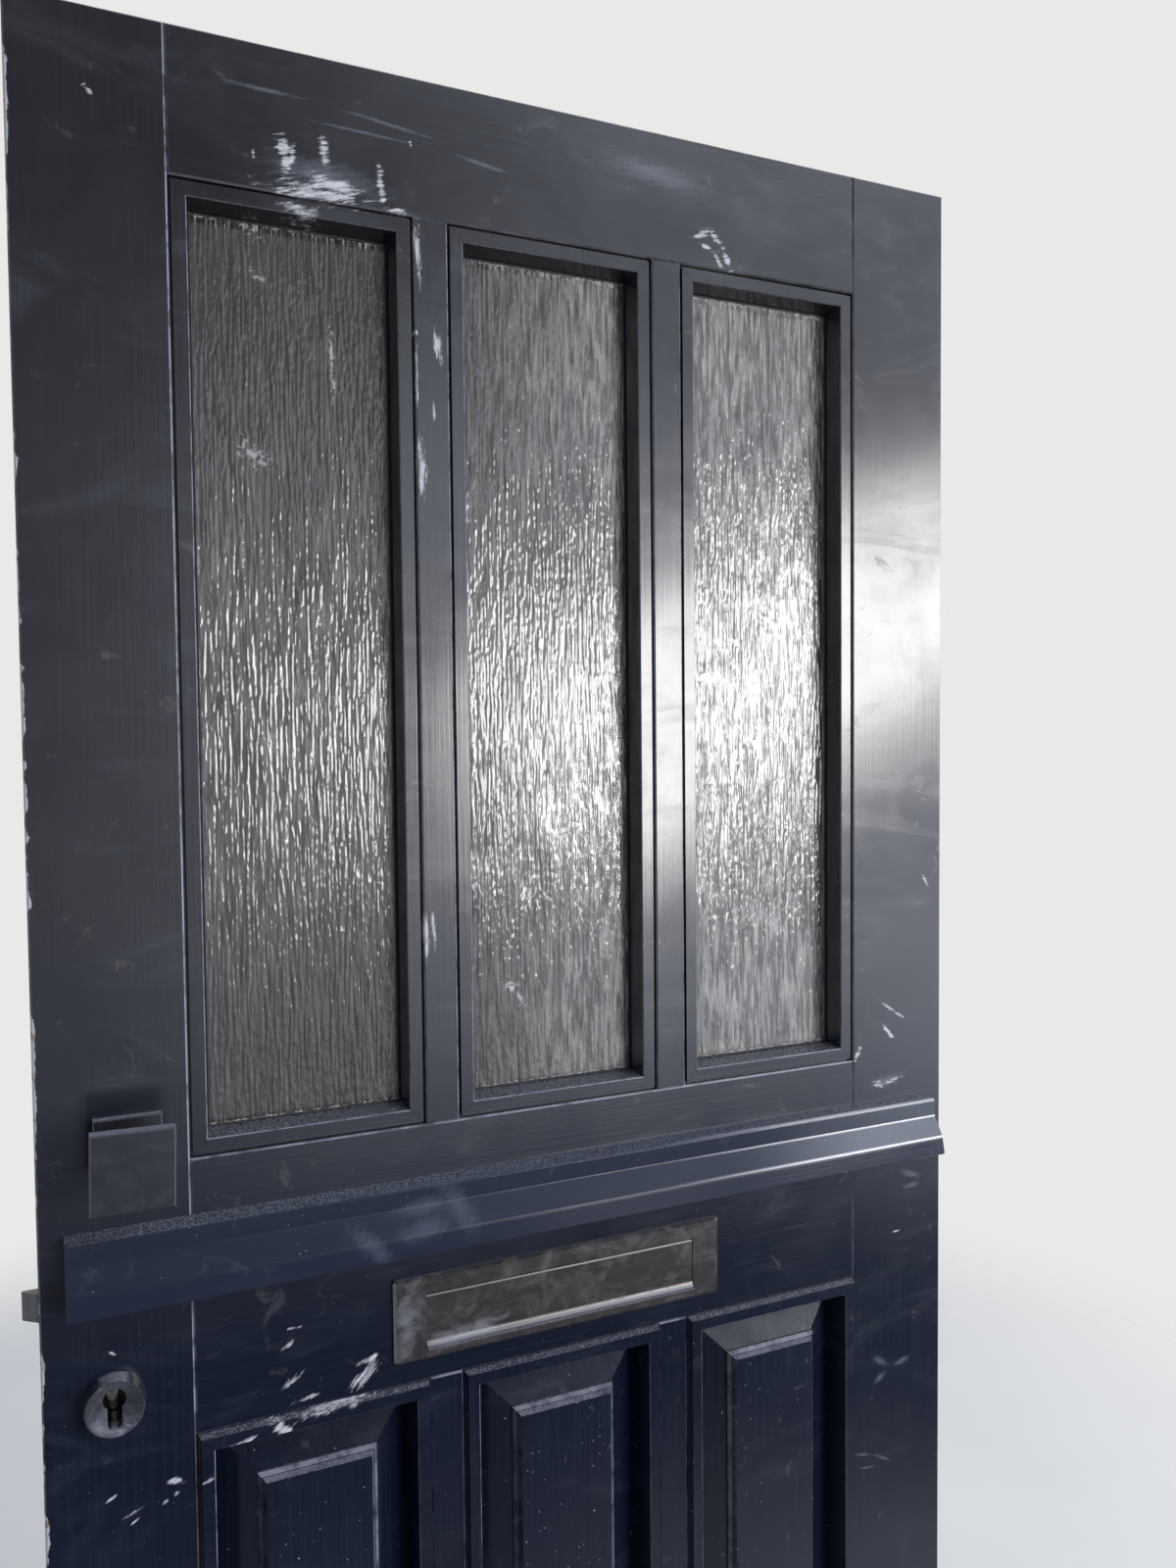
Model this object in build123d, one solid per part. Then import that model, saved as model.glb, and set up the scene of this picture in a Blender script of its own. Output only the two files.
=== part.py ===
from build123d import *
import math
import os

# The door leaf stands upright. The outer face looks towards -Y and the lock side is at -X.
# The origin is at the leaf's bottom edge, halfway across its width and its thickness.

# Leaf
leaf_w = 930.0
leaf_h = 2115.0
leaf_t = 54.0

# Stiles, rails and muntins, which leave three columns of lights above three of panels
stile_w = 120.0
muntin_w = 32.0
column_count = 3
top_rail_h = 122.0
lock_rail_top_z = 1170.0
lock_rail_h = 240.0
bottom_rail_h = 200.0
member_arris = 1.5

# Lip behind the rebate, on the room side, which glass and panels are laid against
lip_t = 11.0
lip_w = 15.5

# Blind mortise and tenon joints
tenon_t = 16.0
tenon_l = 28.0
tenon_shoulder = 20.0
muntin_tenon_l = 20.0
muntin_tenon_shoulder = 4.0
mortise_end_gap = 1.0

# Double glazing
pane_t = 4.0
pane_space = 10.0
pane_edge_gap = 4.0
spacer_w = 10.0

# Glazing bead: a flat face behind a narrow quirk, then a wall that slopes in to the glass
bead_quirk_w = 2.6
bead_quirk_depth = 7.0
bead_face_recess = 1.0
bead_face_w = 12.5
bead_wall_slope_w = 3.0
bead_arris = 0.9
mitre_gap = 0.15

# Bolection moulding round a raised panel
panel_t = 18.0
panel_edge_gap = 2.0
moulding_proud = 6.5
moulding_quirk_w = 0.8
moulding_bevel_w = 2.4
moulding_face_w = 11.2
moulding_wall_slope_w = 1.8
moulding_arris = 0.7

# Raised field of a panel: sloping margin, step, lower bevel, quirk, upper bevel
field_inset = 50.7
field_proud = 3.5
margin_top_depth = 7.5
lower_bevel_start_depth = 4.9
lower_bevel_end_depth = 1.2
lower_bevel_w = 2.9
field_quirk_w = 0.7
upper_bevel_w = 2.9

# Drip moulding
drip_end_inset = 20.0
drip_below_rail_top = 48.0
drip_h = 61.0
drip_proud = 31.5
drip_top_fall = 4.5
drip_fascia_proud = 15.0
drip_nosing_r = 2.0
drip_fascia_h = 22.0
drip_hollow_r = 4.0
drip_slope_h = 19.5
drip_shoulder_proud = 27.8
drip_shoulder_r = 5.0
drip_tip_h = 1.2
drip_groove_r = 2.5
drip_groove_back = 8.0

# Square pull knob
knob_x_from_edge = 71.0
knob_z = 1188.5
knob_plate_w = 64.0
knob_plate_t = 12.0
knob_proud = 66.0
knob_plate_chamfer = 1.2
knob_twist = 1.3
knob_rose_w = 54.0
knob_rose_t = 8.0
knob_rose_chamfer = 1.0
knob_stem_r = 13.0
knob_stem_flare = 7.0
knob_bolt_r = 4.0
knob_bolt_grip = 20.0
knob_bolt_head_r = 10.0
knob_bolt_head_t = 5.0
knob_bolt_head_fillet = 3.0
knob_bolt_hole_gap = 0.4
thread_gap = 0.05
thread_end_gap = 1.0

# Mortise lock
backset = 55.0
lever_z = 1055.0
lever_to_cylinder = 72.0
case_t = 15.0
case_depth = 82.0
case_above_lever = 40.0
case_below_cylinder = 48.0
case_pocket_gap = 0.5
faceplate_t = 3.0
faceplate_w = 22.0
faceplate_over_case = 36.0
faceplate_screw_inset = 12.0
faceplate_screw_r = 2.5
latch_t = 12.0
latch_h = 24.0
latch_above_lever = 1.5
latch_proud = 13.0
latch_nose_t = 2.0
latch_shoulder = 1.0
latch_in_case = 24.0
deadbolt_h = 35.0
deadbolt_above_cylinder = 31.5
deadbolt_in_case = 42.0
bolt_gap = 0.2
bolt_end_gap = 0.5
follower_r = 10.0
spindle_w = 8.0
running_gap = 0.05

# Profile-cylinder hole, left empty
cylinder_r = 8.5
cylinder_slot_w = 10.0
cylinder_hole_h = 33.0
cylinder_wood_gap = 1.0

# Rosettes on the cylinder hole
rosette_r = 25.2
rosette_face_r = 23.6
rosette_t = 14.0
rosette_rim_t = 2.0
rosette_lip_w = 1.2
rosette_dish_depth = 3.0
rosette_hole_gap = 0.7
inner_rosette_r = 26.0
inner_rosette_t = 8.0
inner_rosette_chamfer = 1.0
rosette_screw_spacing = 38.0
rosette_screw_r = 2.4
rosette_screw_grip = 6.0
rosette_screw_head_r = 4.5
rosette_screw_head_t = 2.6
screw_hole_gap = 0.4
screw_wood_gap = 0.8

# Inside lever
lever_rose_r = 26.0
lever_rose_t = 8.0
lever_neck_r = 8.0
lever_bar_r = 8.5
lever_proud = 58.0
lever_arm_l = 118.0
lever_bend_r = 16.0
lever_end_fillet = 3.0
lever_seat = 4.0
spindle_in_lever = 18.0

# Letter plate with its flap. It leaves a share of the rail's spare height under the drip moulding below it.
letter_plate_w = 343.0
letter_plate_h = 79.0
letter_plate_t = 5.0
letter_plate_bevel = 2.5
letter_plate_corner_r = 4.0
letter_spare_below = 0.4
letter_opening_w = 282.0
letter_opening_h = 53.5
letter_opening_above_edge = 8.5
letter_frame_t = 3.0
letter_frame_bevel = 1.0
flap_t = 2.2
flap_recess = 0.8
flap_side_gap = 0.4
flap_top_gap = 0.5
flap_bottom_gap = 0.6
flap_barrel_r = 2.6
flap_pin_r = 1.2
flap_pin_seat = 4.0
flap_curl_r = 7.0
flap_curl_deg = 78.0

# Butt hinges on the room side of the hinge stile
hinge_h = 89.0
hinge_leaf_w = 35.0
hinge_leaf_t = 3.0
hinge_gap = 3.0
hinge_axis_out = 7.0
hinge_knuckle_r = 6.5
hinge_pin_r = 4.0
hinge_knuckles = 5
hinge_knuckle_gap = 0.3
hinge_relief = 0.4
hinge_head_t = 3.0
hinge_head_r = 6.0
hinge_from_top = 200.0
hinge_from_bottom = 220.0
hinge_screw_r = 2.6
hinge_screw_head_r = 4.8
hinge_screw_spacing_y = 18.0
hinge_screw_spacing_z = 60.0

# Planes and spans that the pieces share
outer_y = -leaf_t / 2
inner_y = leaf_t / 2
lock_x = -leaf_w / 2
hinge_x = leaf_w / 2
rebate_y = inner_y - lip_t
thickness = (outer_y, inner_y)
lip_y = (rebate_y, inner_y)
column_w = (leaf_w - 2 * stile_w - (column_count - 1) * muntin_w) / column_count
column_starts = [lock_x + stile_w + i * (column_w + muntin_w) for i in range(column_count)]
columns = [(x, x + column_w) for x in column_starts]
column_names = ["left", "middle", "right"]
lock_rail_z = (lock_rail_top_z - lock_rail_h, lock_rail_top_z)
top_rail_z = (leaf_h - top_rail_h, leaf_h)
bottom_rail_z = (0.0, bottom_rail_h)
light_z = (lock_rail_top_z, leaf_h - top_rail_h)
panel_z = (bottom_rail_h, lock_rail_top_z - lock_rail_h)
glass_y = rebate_y - 2 * pane_t - pane_space
panel_y = rebate_y - panel_t
knob_x = lock_x + knob_x_from_edge
cylinder_x = lock_x + backset
cylinder_z = lever_z - lever_to_cylinder
cylinder_bottom_z = cylinder_z + cylinder_r - cylinder_hole_h
rosette_z = cylinder_z + cylinder_r - cylinder_hole_h / 2
case_x = (lock_x + faceplate_t, lock_x + faceplate_t + case_depth)
case_y = (-case_t / 2, case_t / 2)
case_z = (cylinder_z - case_below_cylinder, lever_z + case_above_lever)
faceplate_z = (case_z[0] - faceplate_over_case, case_z[1] + faceplate_over_case)
latch_z = lever_z + latch_above_lever
deadbolt_z = cylinder_z + deadbolt_above_cylinder
drip_top_z = lock_rail_top_z - drip_below_rail_top
drip_base_z = drip_top_z - drip_h
letter_bottom_z = lock_rail_z[0] + letter_spare_below * (drip_base_z - lock_rail_z[0] - letter_plate_h)
letter_plate_z = letter_bottom_z + letter_plate_h / 2
letter_opening_z = (letter_bottom_z + letter_opening_above_edge,
                    letter_bottom_z + letter_opening_above_edge + letter_opening_h)
letter_front_y = outer_y - letter_plate_t
flap_front_y = letter_front_y + flap_recess
flap_pin_y = flap_front_y + flap_barrel_r
flap_pin_z = letter_opening_z[1] - flap_top_gap - flap_barrel_r
hinge_axis_x = hinge_x + hinge_gap / 2
hinge_axis_y = inner_y + hinge_axis_out
hinge_heights = {
    "top": leaf_h - hinge_from_top,
    "middle": (leaf_h - hinge_from_top + hinge_from_bottom) / 2,
    "bottom": hinge_from_bottom,
}


def span(a, b):
    """The two ends of a range in rising order."""
    return (min(a, b), max(a, b))


def slab(x, y, z):
    """A rectangular block over a (low, high) range along each axis."""
    size = Box(x[1] - x[0], y[1] - y[0], z[1] - z[0])
    return Pos((x[0] + x[1]) / 2, (y[0] + y[1]) / 2, (z[0] + z[1]) / 2) * size


def through_y(sketch, y):
    """A sketch drawn with X across and Z up, extruded over a range of Y."""
    return extrude(Plane.XZ.offset(-y[1]) * sketch, y[1] - y[0])


def along_x(sketch, x):
    """A sketch drawn with Y across and Z up, extruded over a range of X."""
    return extrude(Plane.YZ.offset(x[0]) * sketch, x[1] - x[0])


def rod_y(x, z, r, y):
    """A round rod or drill along Y."""
    return through_y(Pos(x, z) * Circle(r), y)


def rod_z(x, y, r, z):
    """A round rod or drill along Z."""
    return Pos(x, y, (z[0] + z[1]) / 2) * Cylinder(r, z[1] - z[0])


# Joinery

def member(x, z):
    """A planed length of timber, with its arrises taken off on the outer face."""
    body = slab(x, thickness, z)
    return chamfer(body.faces().sort_by(Axis.Y)[0].edges(), member_arris)


def tenon_z(rail_z):
    return (rail_z[0] + tenon_shoulder, rail_z[1] - tenon_shoulder)


def rail_tenon(x_joint, side, rail_z, length):
    """The tongue at a rail's end; side is -1 where it runs towards -X."""
    return slab(span(x_joint, x_joint + side * length), (-tenon_t / 2, tenon_t / 2), tenon_z(rail_z))


def muntin_tenon(muntin_x, z_joint, side, length):
    """The tongue at a muntin's end; side is +1 where it runs upwards."""
    x = (muntin_x[0] + muntin_tenon_shoulder, muntin_x[1] - muntin_tenon_shoulder)
    return slab(x, (-tenon_t / 2, tenon_t / 2), span(z_joint, z_joint + side * length))


def muntin_spans():
    return [(columns[i][1], columns[i + 1][0]) for i in range(column_count - 1)]


def upright_lip(x_edge, side, z):
    """The lip on the edge of an upright; side is +1 where the opening lies towards +X."""
    return slab(span(x_edge, x_edge + side * lip_w), lip_y, z)


def rail_lips(z_edge, side):
    """The lips along a rail's edge, one in each column, between the lips of the uprights."""
    z = span(z_edge, z_edge + side * lip_w)
    return [slab((x0 + lip_w, x1 - lip_w), lip_y, z) for x0, x1 in columns]


def stile(x_edge, side):
    """A full-height upright; side is +1 where the openings lie towards +X."""
    x_joint = x_edge + side * stile_w
    body = member(span(x_edge, x_joint), (0, leaf_h))
    for z in (light_z, panel_z):
        body += upright_lip(x_joint, side, z)
    for rail_z in (top_rail_z, lock_rail_z, bottom_rail_z):
        body -= rail_tenon(x_joint, -side, rail_z, tenon_l + mortise_end_gap)
    return body


def rail(rail_z, opening_above, opening_below):
    """A rail between the stiles, tenoned into both and mortised for the muntins."""
    x_ends = (lock_x + stile_w, hinge_x - stile_w)
    body = member(x_ends, rail_z)
    body += rail_tenon(x_ends[0], -1, rail_z, tenon_l)
    body += rail_tenon(x_ends[1], 1, rail_z, tenon_l)
    mortise_l = muntin_tenon_l + mortise_end_gap
    if opening_above:
        for lip in rail_lips(rail_z[1], 1):
            body += lip
        for muntin_x in muntin_spans():
            body -= muntin_tenon(muntin_x, rail_z[1], -1, mortise_l)
    if opening_below:
        for lip in rail_lips(rail_z[0], -1):
            body += lip
        for muntin_x in muntin_spans():
            body -= muntin_tenon(muntin_x, rail_z[0], 1, mortise_l)
    return body


def muntin(muntin_x, z):
    """A narrow upright between two openings, tenoned into the rails above and below."""
    body = member(muntin_x, z)
    body += upright_lip(muntin_x[0], -1, z)
    body += upright_lip(muntin_x[1], 1, z)
    body += muntin_tenon(muntin_x, z[1], 1, muntin_tenon_l)
    body += muntin_tenon(muntin_x, z[0], -1, muntin_tenon_l)
    return body


def lock_stile():
    body = stile(lock_x, 1)
    pocket_x = (lock_x, case_x[1] + case_pocket_gap)
    pocket_z = (case_z[0] - case_pocket_gap, case_z[1] + case_pocket_gap)
    body -= slab(pocket_x, case_y, pocket_z)
    body -= slab((lock_x, lock_x + faceplate_t), (-faceplate_w / 2, faceplate_w / 2), faceplate_z)
    body -= cylinder_hole(cylinder_wood_gap, thickness)
    body -= rod_y(cylinder_x, lever_z, lever_neck_r, (0, inner_y))
    body -= rod_y(knob_x, knob_z, knob_bolt_r + knob_bolt_hole_gap, thickness)
    for x in rosette_screw_xs():
        body -= rod_y(x, rosette_z, rosette_screw_r + screw_wood_gap, thickness)
    return body


def hinge_stile():
    body = stile(hinge_x, -1)
    for z in hinge_heights.values():
        leaf_z = (z - hinge_h / 2, z + hinge_h / 2)
        body -= slab((hinge_x - hinge_leaf_t, hinge_x), (inner_y - hinge_leaf_w, inner_y), leaf_z)
    return body


def lock_rail():
    """The wide middle rail, with the letter slot cut through it."""
    half_w = letter_opening_w / 2
    slot = slab((-half_w, half_w), thickness, letter_opening_z)
    return rail(lock_rail_z, True, True) - slot


# Glazing

def pane(x, z, y0):
    edge = pane_edge_gap
    return slab((x[0] + edge, x[1] - edge), (y0, y0 + pane_t), (z[0] + edge, z[1] - edge))


def spacer(x, z):
    """The hollow frame that keeps two panes apart."""
    y = (glass_y + pane_t, glass_y + pane_t + pane_space)
    rim = pane_edge_gap
    hole = pane_edge_gap + spacer_w
    frame = slab((x[0] + rim, x[1] - rim), y, (z[0] + rim, z[1] - rim))
    return frame - slab((x[0] + hole, x[1] - hole), y, (z[0] + hole, z[1] - hole))


def mitred_bars(x, z, section, reach):
    """Four bars round an opening. The section's points are (in from the edge, in from the face)."""
    corners = {
        "left": ((x[0], z[0]), (1, 0, 0), (0, 0, 1), z[1] - z[0]),
        "top": ((x[0], z[1]), (0, 0, -1), (1, 0, 0), x[1] - x[0]),
        "right": ((x[1], z[1]), (-1, 0, 0), (0, 0, -1), z[1] - z[0]),
        "bottom": ((x[1], z[0]), (0, 0, 1), (-1, 0, 0), x[1] - x[0]),
    }
    bars = {}
    for name, (corner, inward, run, length) in corners.items():
        start = (corner[0], outer_y, corner[1])
        profile = make_face(Polyline(*section, close=True))
        bar = extrude(Plane(start, x_dir=inward, z_dir=run) * profile, length)
        near = (mitre_gap, length - mitre_gap)
        trapezium = [(near[0], 0), (near[1], 0), (near[1] - reach, reach), (near[0] + reach, reach)]
        mitre = make_face(Polyline(*trapezium, close=True))
        bars[name] = bar & extrude(Plane(start, x_dir=run, z_dir=(0, 1, 0)) * mitre, leaf_t, both=True)
    return bars


def glazing_beads(x, z):
    """Flat-faced beads, nailed in front of the glass with a shadow quirk round them."""
    face_end = bead_quirk_w + bead_face_w
    reach = face_end + bead_wall_slope_w
    depth = glass_y - outer_y
    section = [
        (bead_quirk_w, bead_face_recess),
        (face_end - bead_arris, bead_face_recess),
        (face_end, bead_face_recess + bead_arris),
        (reach, depth),
        (0, depth),
        (0, bead_quirk_depth),
        (bead_quirk_w, bead_quirk_depth),
    ]
    return mitred_bars(x, z, section, reach)


# Raised panels

def panel_moulding(x, z):
    """The bolection moulding that holds a panel and stands proud of the rails and stiles."""
    bevel_end = moulding_quirk_w + moulding_bevel_w
    face_end = bevel_end + moulding_face_w
    reach = face_end + moulding_wall_slope_w
    depth = panel_y - outer_y
    section = [
        (0, 0),
        (moulding_quirk_w, 0),
        (bevel_end, -moulding_proud),
        (face_end - moulding_arris, -moulding_proud),
        (face_end, moulding_arris - moulding_proud),
        (reach, depth),
        (0, depth),
    ]
    return mitred_bars(x, z, section, reach)


def panel_layer(x, z, inset0, y0, inset1, y1):
    """One layer of a raised panel: straight where both insets agree, else tapered."""
    lower, upper = [
        Plane.XZ.offset(-y) * Pos((x[0] + x[1]) / 2, (z[0] + z[1]) / 2)
        * Rectangle(x[1] - x[0] - 2 * inset, z[1] - z[0] - 2 * inset)
        for inset, y in ((inset0, y0), (inset1, y1))
    ]
    return loft([lower, upper])


def raised_panel(x, z):
    """A panel whose margin slopes up to a stepped and twice bevelled field."""
    margin_start = moulding_quirk_w + moulding_bevel_w + moulding_face_w + moulding_wall_slope_w
    lower_end = field_inset + lower_bevel_w
    upper_start = lower_end + field_quirk_w
    margin_top_y = outer_y + margin_top_depth
    step_y = outer_y + lower_bevel_start_depth
    quirk_y = outer_y + lower_bevel_end_depth
    panel = panel_layer(x, z, panel_edge_gap, rebate_y, panel_edge_gap, panel_y)
    panel += panel_layer(x, z, margin_start, panel_y, field_inset, margin_top_y)
    panel += panel_layer(x, z, field_inset, margin_top_y, field_inset, step_y)
    panel += panel_layer(x, z, field_inset, step_y, lower_end, quirk_y)
    panel += panel_layer(x, z, upper_start, quirk_y, upper_start + upper_bevel_w, outer_y - field_proud)
    return panel


# Drip moulding

def drip_moulding():
    """The weather moulding: sloped top, fascia, slope out to a shoulder, and a tip with a drip groove."""
    nose_y = outer_y - drip_fascia_proud
    shoulder_y = outer_y - drip_shoulder_proud
    tip_y = outer_y - drip_proud
    nosing = (nose_y, drip_top_z - drip_top_fall)
    hollow = (nose_y, drip_top_z - drip_fascia_h)
    shoulder = (shoulder_y, drip_top_z - drip_fascia_h - drip_slope_h)
    tip = [(tip_y, drip_base_z + drip_tip_h), (tip_y + drip_tip_h, drip_base_z)]
    back = [(outer_y, drip_base_z), (outer_y, drip_top_z)]
    profile = make_face(Polyline(nosing, hollow, shoulder, *tip, *back, close=True))
    for corner, r in ((nosing, drip_nosing_r), (hollow, drip_hollow_r), (shoulder, drip_shoulder_r)):
        profile = fillet(profile.vertices().sort_by_distance((*corner, 0))[0], r)
    groove = Pos(tip_y + drip_groove_back, drip_base_z) * Circle(drip_groove_r)
    return along_x(profile - groove, (lock_x + drip_end_inset, hinge_x - drip_end_inset))


# Pull knob

def knob_rose():
    y = (outer_y - knob_rose_t, outer_y)
    rose = through_y(Pos(knob_x, knob_z) * Rectangle(knob_rose_w, knob_rose_w), y)
    rose = chamfer(rose.faces().sort_by(Axis.Y)[0].edges(), knob_rose_chamfer)
    return rose - rod_y(knob_x, knob_z, knob_bolt_r + knob_bolt_hole_gap, y)


def pull_knob():
    """A square plate on a flared stem, tapped for the bolt and turned a little on it."""
    stem_y = outer_y - knob_rose_t
    plate_back_y = outer_y - knob_proud + knob_plate_t
    front_y = outer_y - knob_proud
    square = Pos(knob_x, knob_z) * Rot(0, 0, -knob_twist) * Rectangle(knob_plate_w, knob_plate_w)
    plate = through_y(square, (front_y, plate_back_y))
    plate = chamfer(plate.faces().sort_by(Axis.Y)[0].edges(), knob_plate_chamfer)
    flare_r = knob_stem_r + knob_stem_flare
    flare_y = plate_back_y + knob_stem_flare
    outline = [
        Line((0, stem_y), (knob_stem_r, stem_y)),
        Line((knob_stem_r, stem_y), (knob_stem_r, flare_y)),
        CenterArc((flare_r, flare_y), knob_stem_flare, 180, 90),
        Line((flare_r, plate_back_y), (0, plate_back_y)),
        Line((0, plate_back_y), (0, stem_y)),
    ]
    stem = Pos(knob_x, 0, knob_z) * revolve(make_face(outline), Axis.Y)
    thread = rod_y(knob_x, knob_z, knob_bolt_r + thread_gap, (stem_y - knob_bolt_grip, stem_y))
    return plate + stem - thread


def knob_bolt():
    """The bolt that holds the knob, with a domed head on the room side."""
    shank_y = (outer_y - knob_rose_t - knob_bolt_grip + thread_end_gap, inner_y)
    shank = rod_y(knob_x, knob_z, knob_bolt_r, shank_y)
    head = rod_y(knob_x, knob_z, knob_bolt_head_r, (inner_y, inner_y + knob_bolt_head_t))
    head = fillet(head.edges().sort_by(Axis.Y)[-1], knob_bolt_head_fillet)
    return shank + head


# Lock

def cylinder_hole(grow, y):
    """The profile of a euro cylinder, grown all round, over a range of Y."""
    foot_r = cylinder_slot_w / 2
    foot_z = cylinder_bottom_z + foot_r
    slot_h = cylinder_z - foot_z
    profile = Pos(cylinder_x, cylinder_z) * Circle(cylinder_r + grow)
    profile += Pos(cylinder_x, (cylinder_z + foot_z) / 2) * Rectangle(cylinder_slot_w + 2 * grow, slot_h)
    profile += Pos(cylinder_x, foot_z) * Circle(foot_r + grow)
    return through_y(profile, y)


def rosette_screw_xs():
    return [cylinder_x + side * rosette_screw_spacing / 2 for side in (-1, 1)]


def latch_pocket_z():
    return (latch_z - latch_h / 2 - bolt_gap, latch_z + latch_h / 2 + bolt_gap)


def deadbolt_pocket_z():
    return (deadbolt_z - deadbolt_h / 2 - bolt_gap, deadbolt_z + deadbolt_h / 2 + bolt_gap)


def bolt_pocket_y():
    return (-latch_t / 2 - bolt_gap, latch_t / 2 + bolt_gap)


def lock_case():
    """The lock's body, open at the front for its two bolts."""
    body = slab(case_x, case_y, case_z)
    latch_end_x = case_x[0] + latch_in_case + latch_proud + bolt_end_gap
    deadbolt_end_x = case_x[0] + deadbolt_in_case + bolt_end_gap
    body -= slab((case_x[0], latch_end_x), bolt_pocket_y(), latch_pocket_z())
    body -= slab((case_x[0], deadbolt_end_x), bolt_pocket_y(), deadbolt_pocket_z())
    body -= rod_y(cylinder_x, lever_z, follower_r + running_gap, case_y)
    body -= cylinder_hole(0, case_y)
    for x in rosette_screw_xs():
        body -= rod_y(x, rosette_z, rosette_screw_r + screw_hole_gap, case_y)
    return body


def lock_faceplate():
    """The plate let into the door's edge, with a window for each bolt."""
    x = (lock_x, lock_x + faceplate_t)
    body = slab(x, (-faceplate_w / 2, faceplate_w / 2), faceplate_z)
    body -= slab(x, bolt_pocket_y(), latch_pocket_z())
    body -= slab(x, bolt_pocket_y(), deadbolt_pocket_z())
    for z in (faceplate_z[0] + faceplate_screw_inset, faceplate_z[1] - faceplate_screw_inset):
        hole = Rot(0, 90, 0) * Cylinder(faceplate_screw_r, 2 * faceplate_t)
        body -= Pos(lock_x + faceplate_t / 2, 0, z) * hole
    return body


def latch_bolt():
    """The sprung bolt, bevelled on the side that meets the strike first."""
    nose_x = lock_x - latch_proud
    tail_x = case_x[0] + latch_in_case
    half = latch_t / 2
    bevel_end_x = lock_x - latch_shoulder
    bevel = [(bevel_end_x, -half), (nose_x, half - latch_nose_t)]
    face = make_face(Polyline((nose_x, half), (tail_x, half), (tail_x, -half), *bevel, close=True))
    return extrude(Plane.XY.offset(latch_z - latch_h / 2) * face, latch_h)


def deadbolt():
    x = (lock_x, case_x[0] + deadbolt_in_case)
    z = (deadbolt_z - deadbolt_h / 2, deadbolt_z + deadbolt_h / 2)
    return slab(x, (-latch_t / 2, latch_t / 2), z)


def lock_follower():
    """The hub that the lever's spindle turns in the case."""
    hub = rod_y(cylinder_x, lever_z, follower_r, case_y)
    return hub - through_y(Pos(cylinder_x, lever_z) * Rectangle(spindle_w, spindle_w), case_y)


def escutcheon_outer():
    """The security rosette: a thick tapered ring with a narrow lip round a dished face."""
    rim_y = outer_y - rosette_rim_t
    face_y = outer_y - rosette_t
    outline = [
        (0, outer_y),
        (rosette_r, outer_y),
        (rosette_r, rim_y),
        (rosette_face_r, face_y),
        (rosette_face_r - rosette_lip_w, face_y),
        (0, face_y + rosette_dish_depth),
    ]
    body = revolve(make_face(Polyline(*outline, close=True)), Axis.Y)
    body = Pos(cylinder_x, 0, rosette_z) * body - cylinder_hole(rosette_hole_gap, (face_y, outer_y))
    for x in rosette_screw_xs():
        body -= rod_y(x, rosette_z, rosette_screw_r + thread_gap, (outer_y - rosette_screw_grip, outer_y))
    return body


def escutcheon_inner():
    y = (inner_y, inner_y + inner_rosette_t)
    sink_y = (y[1] - rosette_screw_head_t, y[1])
    body = rod_y(cylinder_x, rosette_z, inner_rosette_r, y)
    body = chamfer(body.edges().sort_by(Axis.Y)[-1], inner_rosette_chamfer)
    body -= cylinder_hole(0, y)
    for x in rosette_screw_xs():
        body -= rod_y(x, rosette_z, rosette_screw_r + screw_hole_gap, y)
        body -= rod_y(x, rosette_z, rosette_screw_head_r + screw_hole_gap, sink_y)
    return body


def escutcheon_screws():
    """Two long screws from the room side, through the case, into the outer rosette."""
    head_y = inner_y + inner_rosette_t - rosette_screw_head_t
    tip_y = outer_y - rosette_screw_grip + thread_end_gap
    screws = []
    for x in rosette_screw_xs():
        shank = rod_y(x, rosette_z, rosette_screw_r, (tip_y, head_y))
        screws.append(shank + rod_y(x, rosette_z, rosette_screw_head_r, (head_y, inner_y + inner_rosette_t)))
    return Compound([solid for screw in screws for solid in screw.solids()])


# Inside lever

def lever_rose():
    y = (inner_y, inner_y + lever_rose_t)
    body = rod_y(cylinder_x, lever_z, lever_rose_r, y)
    body = chamfer(body.edges().sort_by(Axis.Y)[-1], inner_rosette_chamfer)
    return body - rod_y(cylinder_x, lever_z, lever_neck_r + running_gap, y)


def lever_spindle():
    """The square bar from the follower into the lever."""
    end_y = inner_y + lever_rose_t - lever_seat + spindle_in_lever
    return through_y(Pos(cylinder_x, lever_z) * Rectangle(spindle_w, spindle_w), (case_y[0], end_y))


def lever_handle():
    """A round bar that comes out of the rose and turns towards the door's middle."""
    rose_face_y = inner_y + lever_rose_t
    bar_y = inner_y + lever_proud - lever_bar_r
    start = (cylinder_x, rose_face_y + running_gap, lever_z)
    route = FilletPolyline(
        start, (cylinder_x, bar_y, lever_z), (cylinder_x + lever_arm_l, bar_y, lever_z), radius=lever_bend_r
    )
    bar = sweep(Plane(start, x_dir=(1, 0, 0), z_dir=(0, 1, 0)) * Circle(lever_bar_r), path=route)
    bar = fillet(bar.edges().sort_by(Axis.X)[-1], lever_end_fillet)
    seat_y = rose_face_y - lever_seat
    neck = rod_y(cylinder_x, lever_z, lever_neck_r, (seat_y, rose_face_y + running_gap))
    socket = Pos(cylinder_x, lever_z) * Rectangle(spindle_w, spindle_w)
    return bar + neck - through_y(socket, (seat_y, seat_y + spindle_in_lever))


# Letter slot

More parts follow.
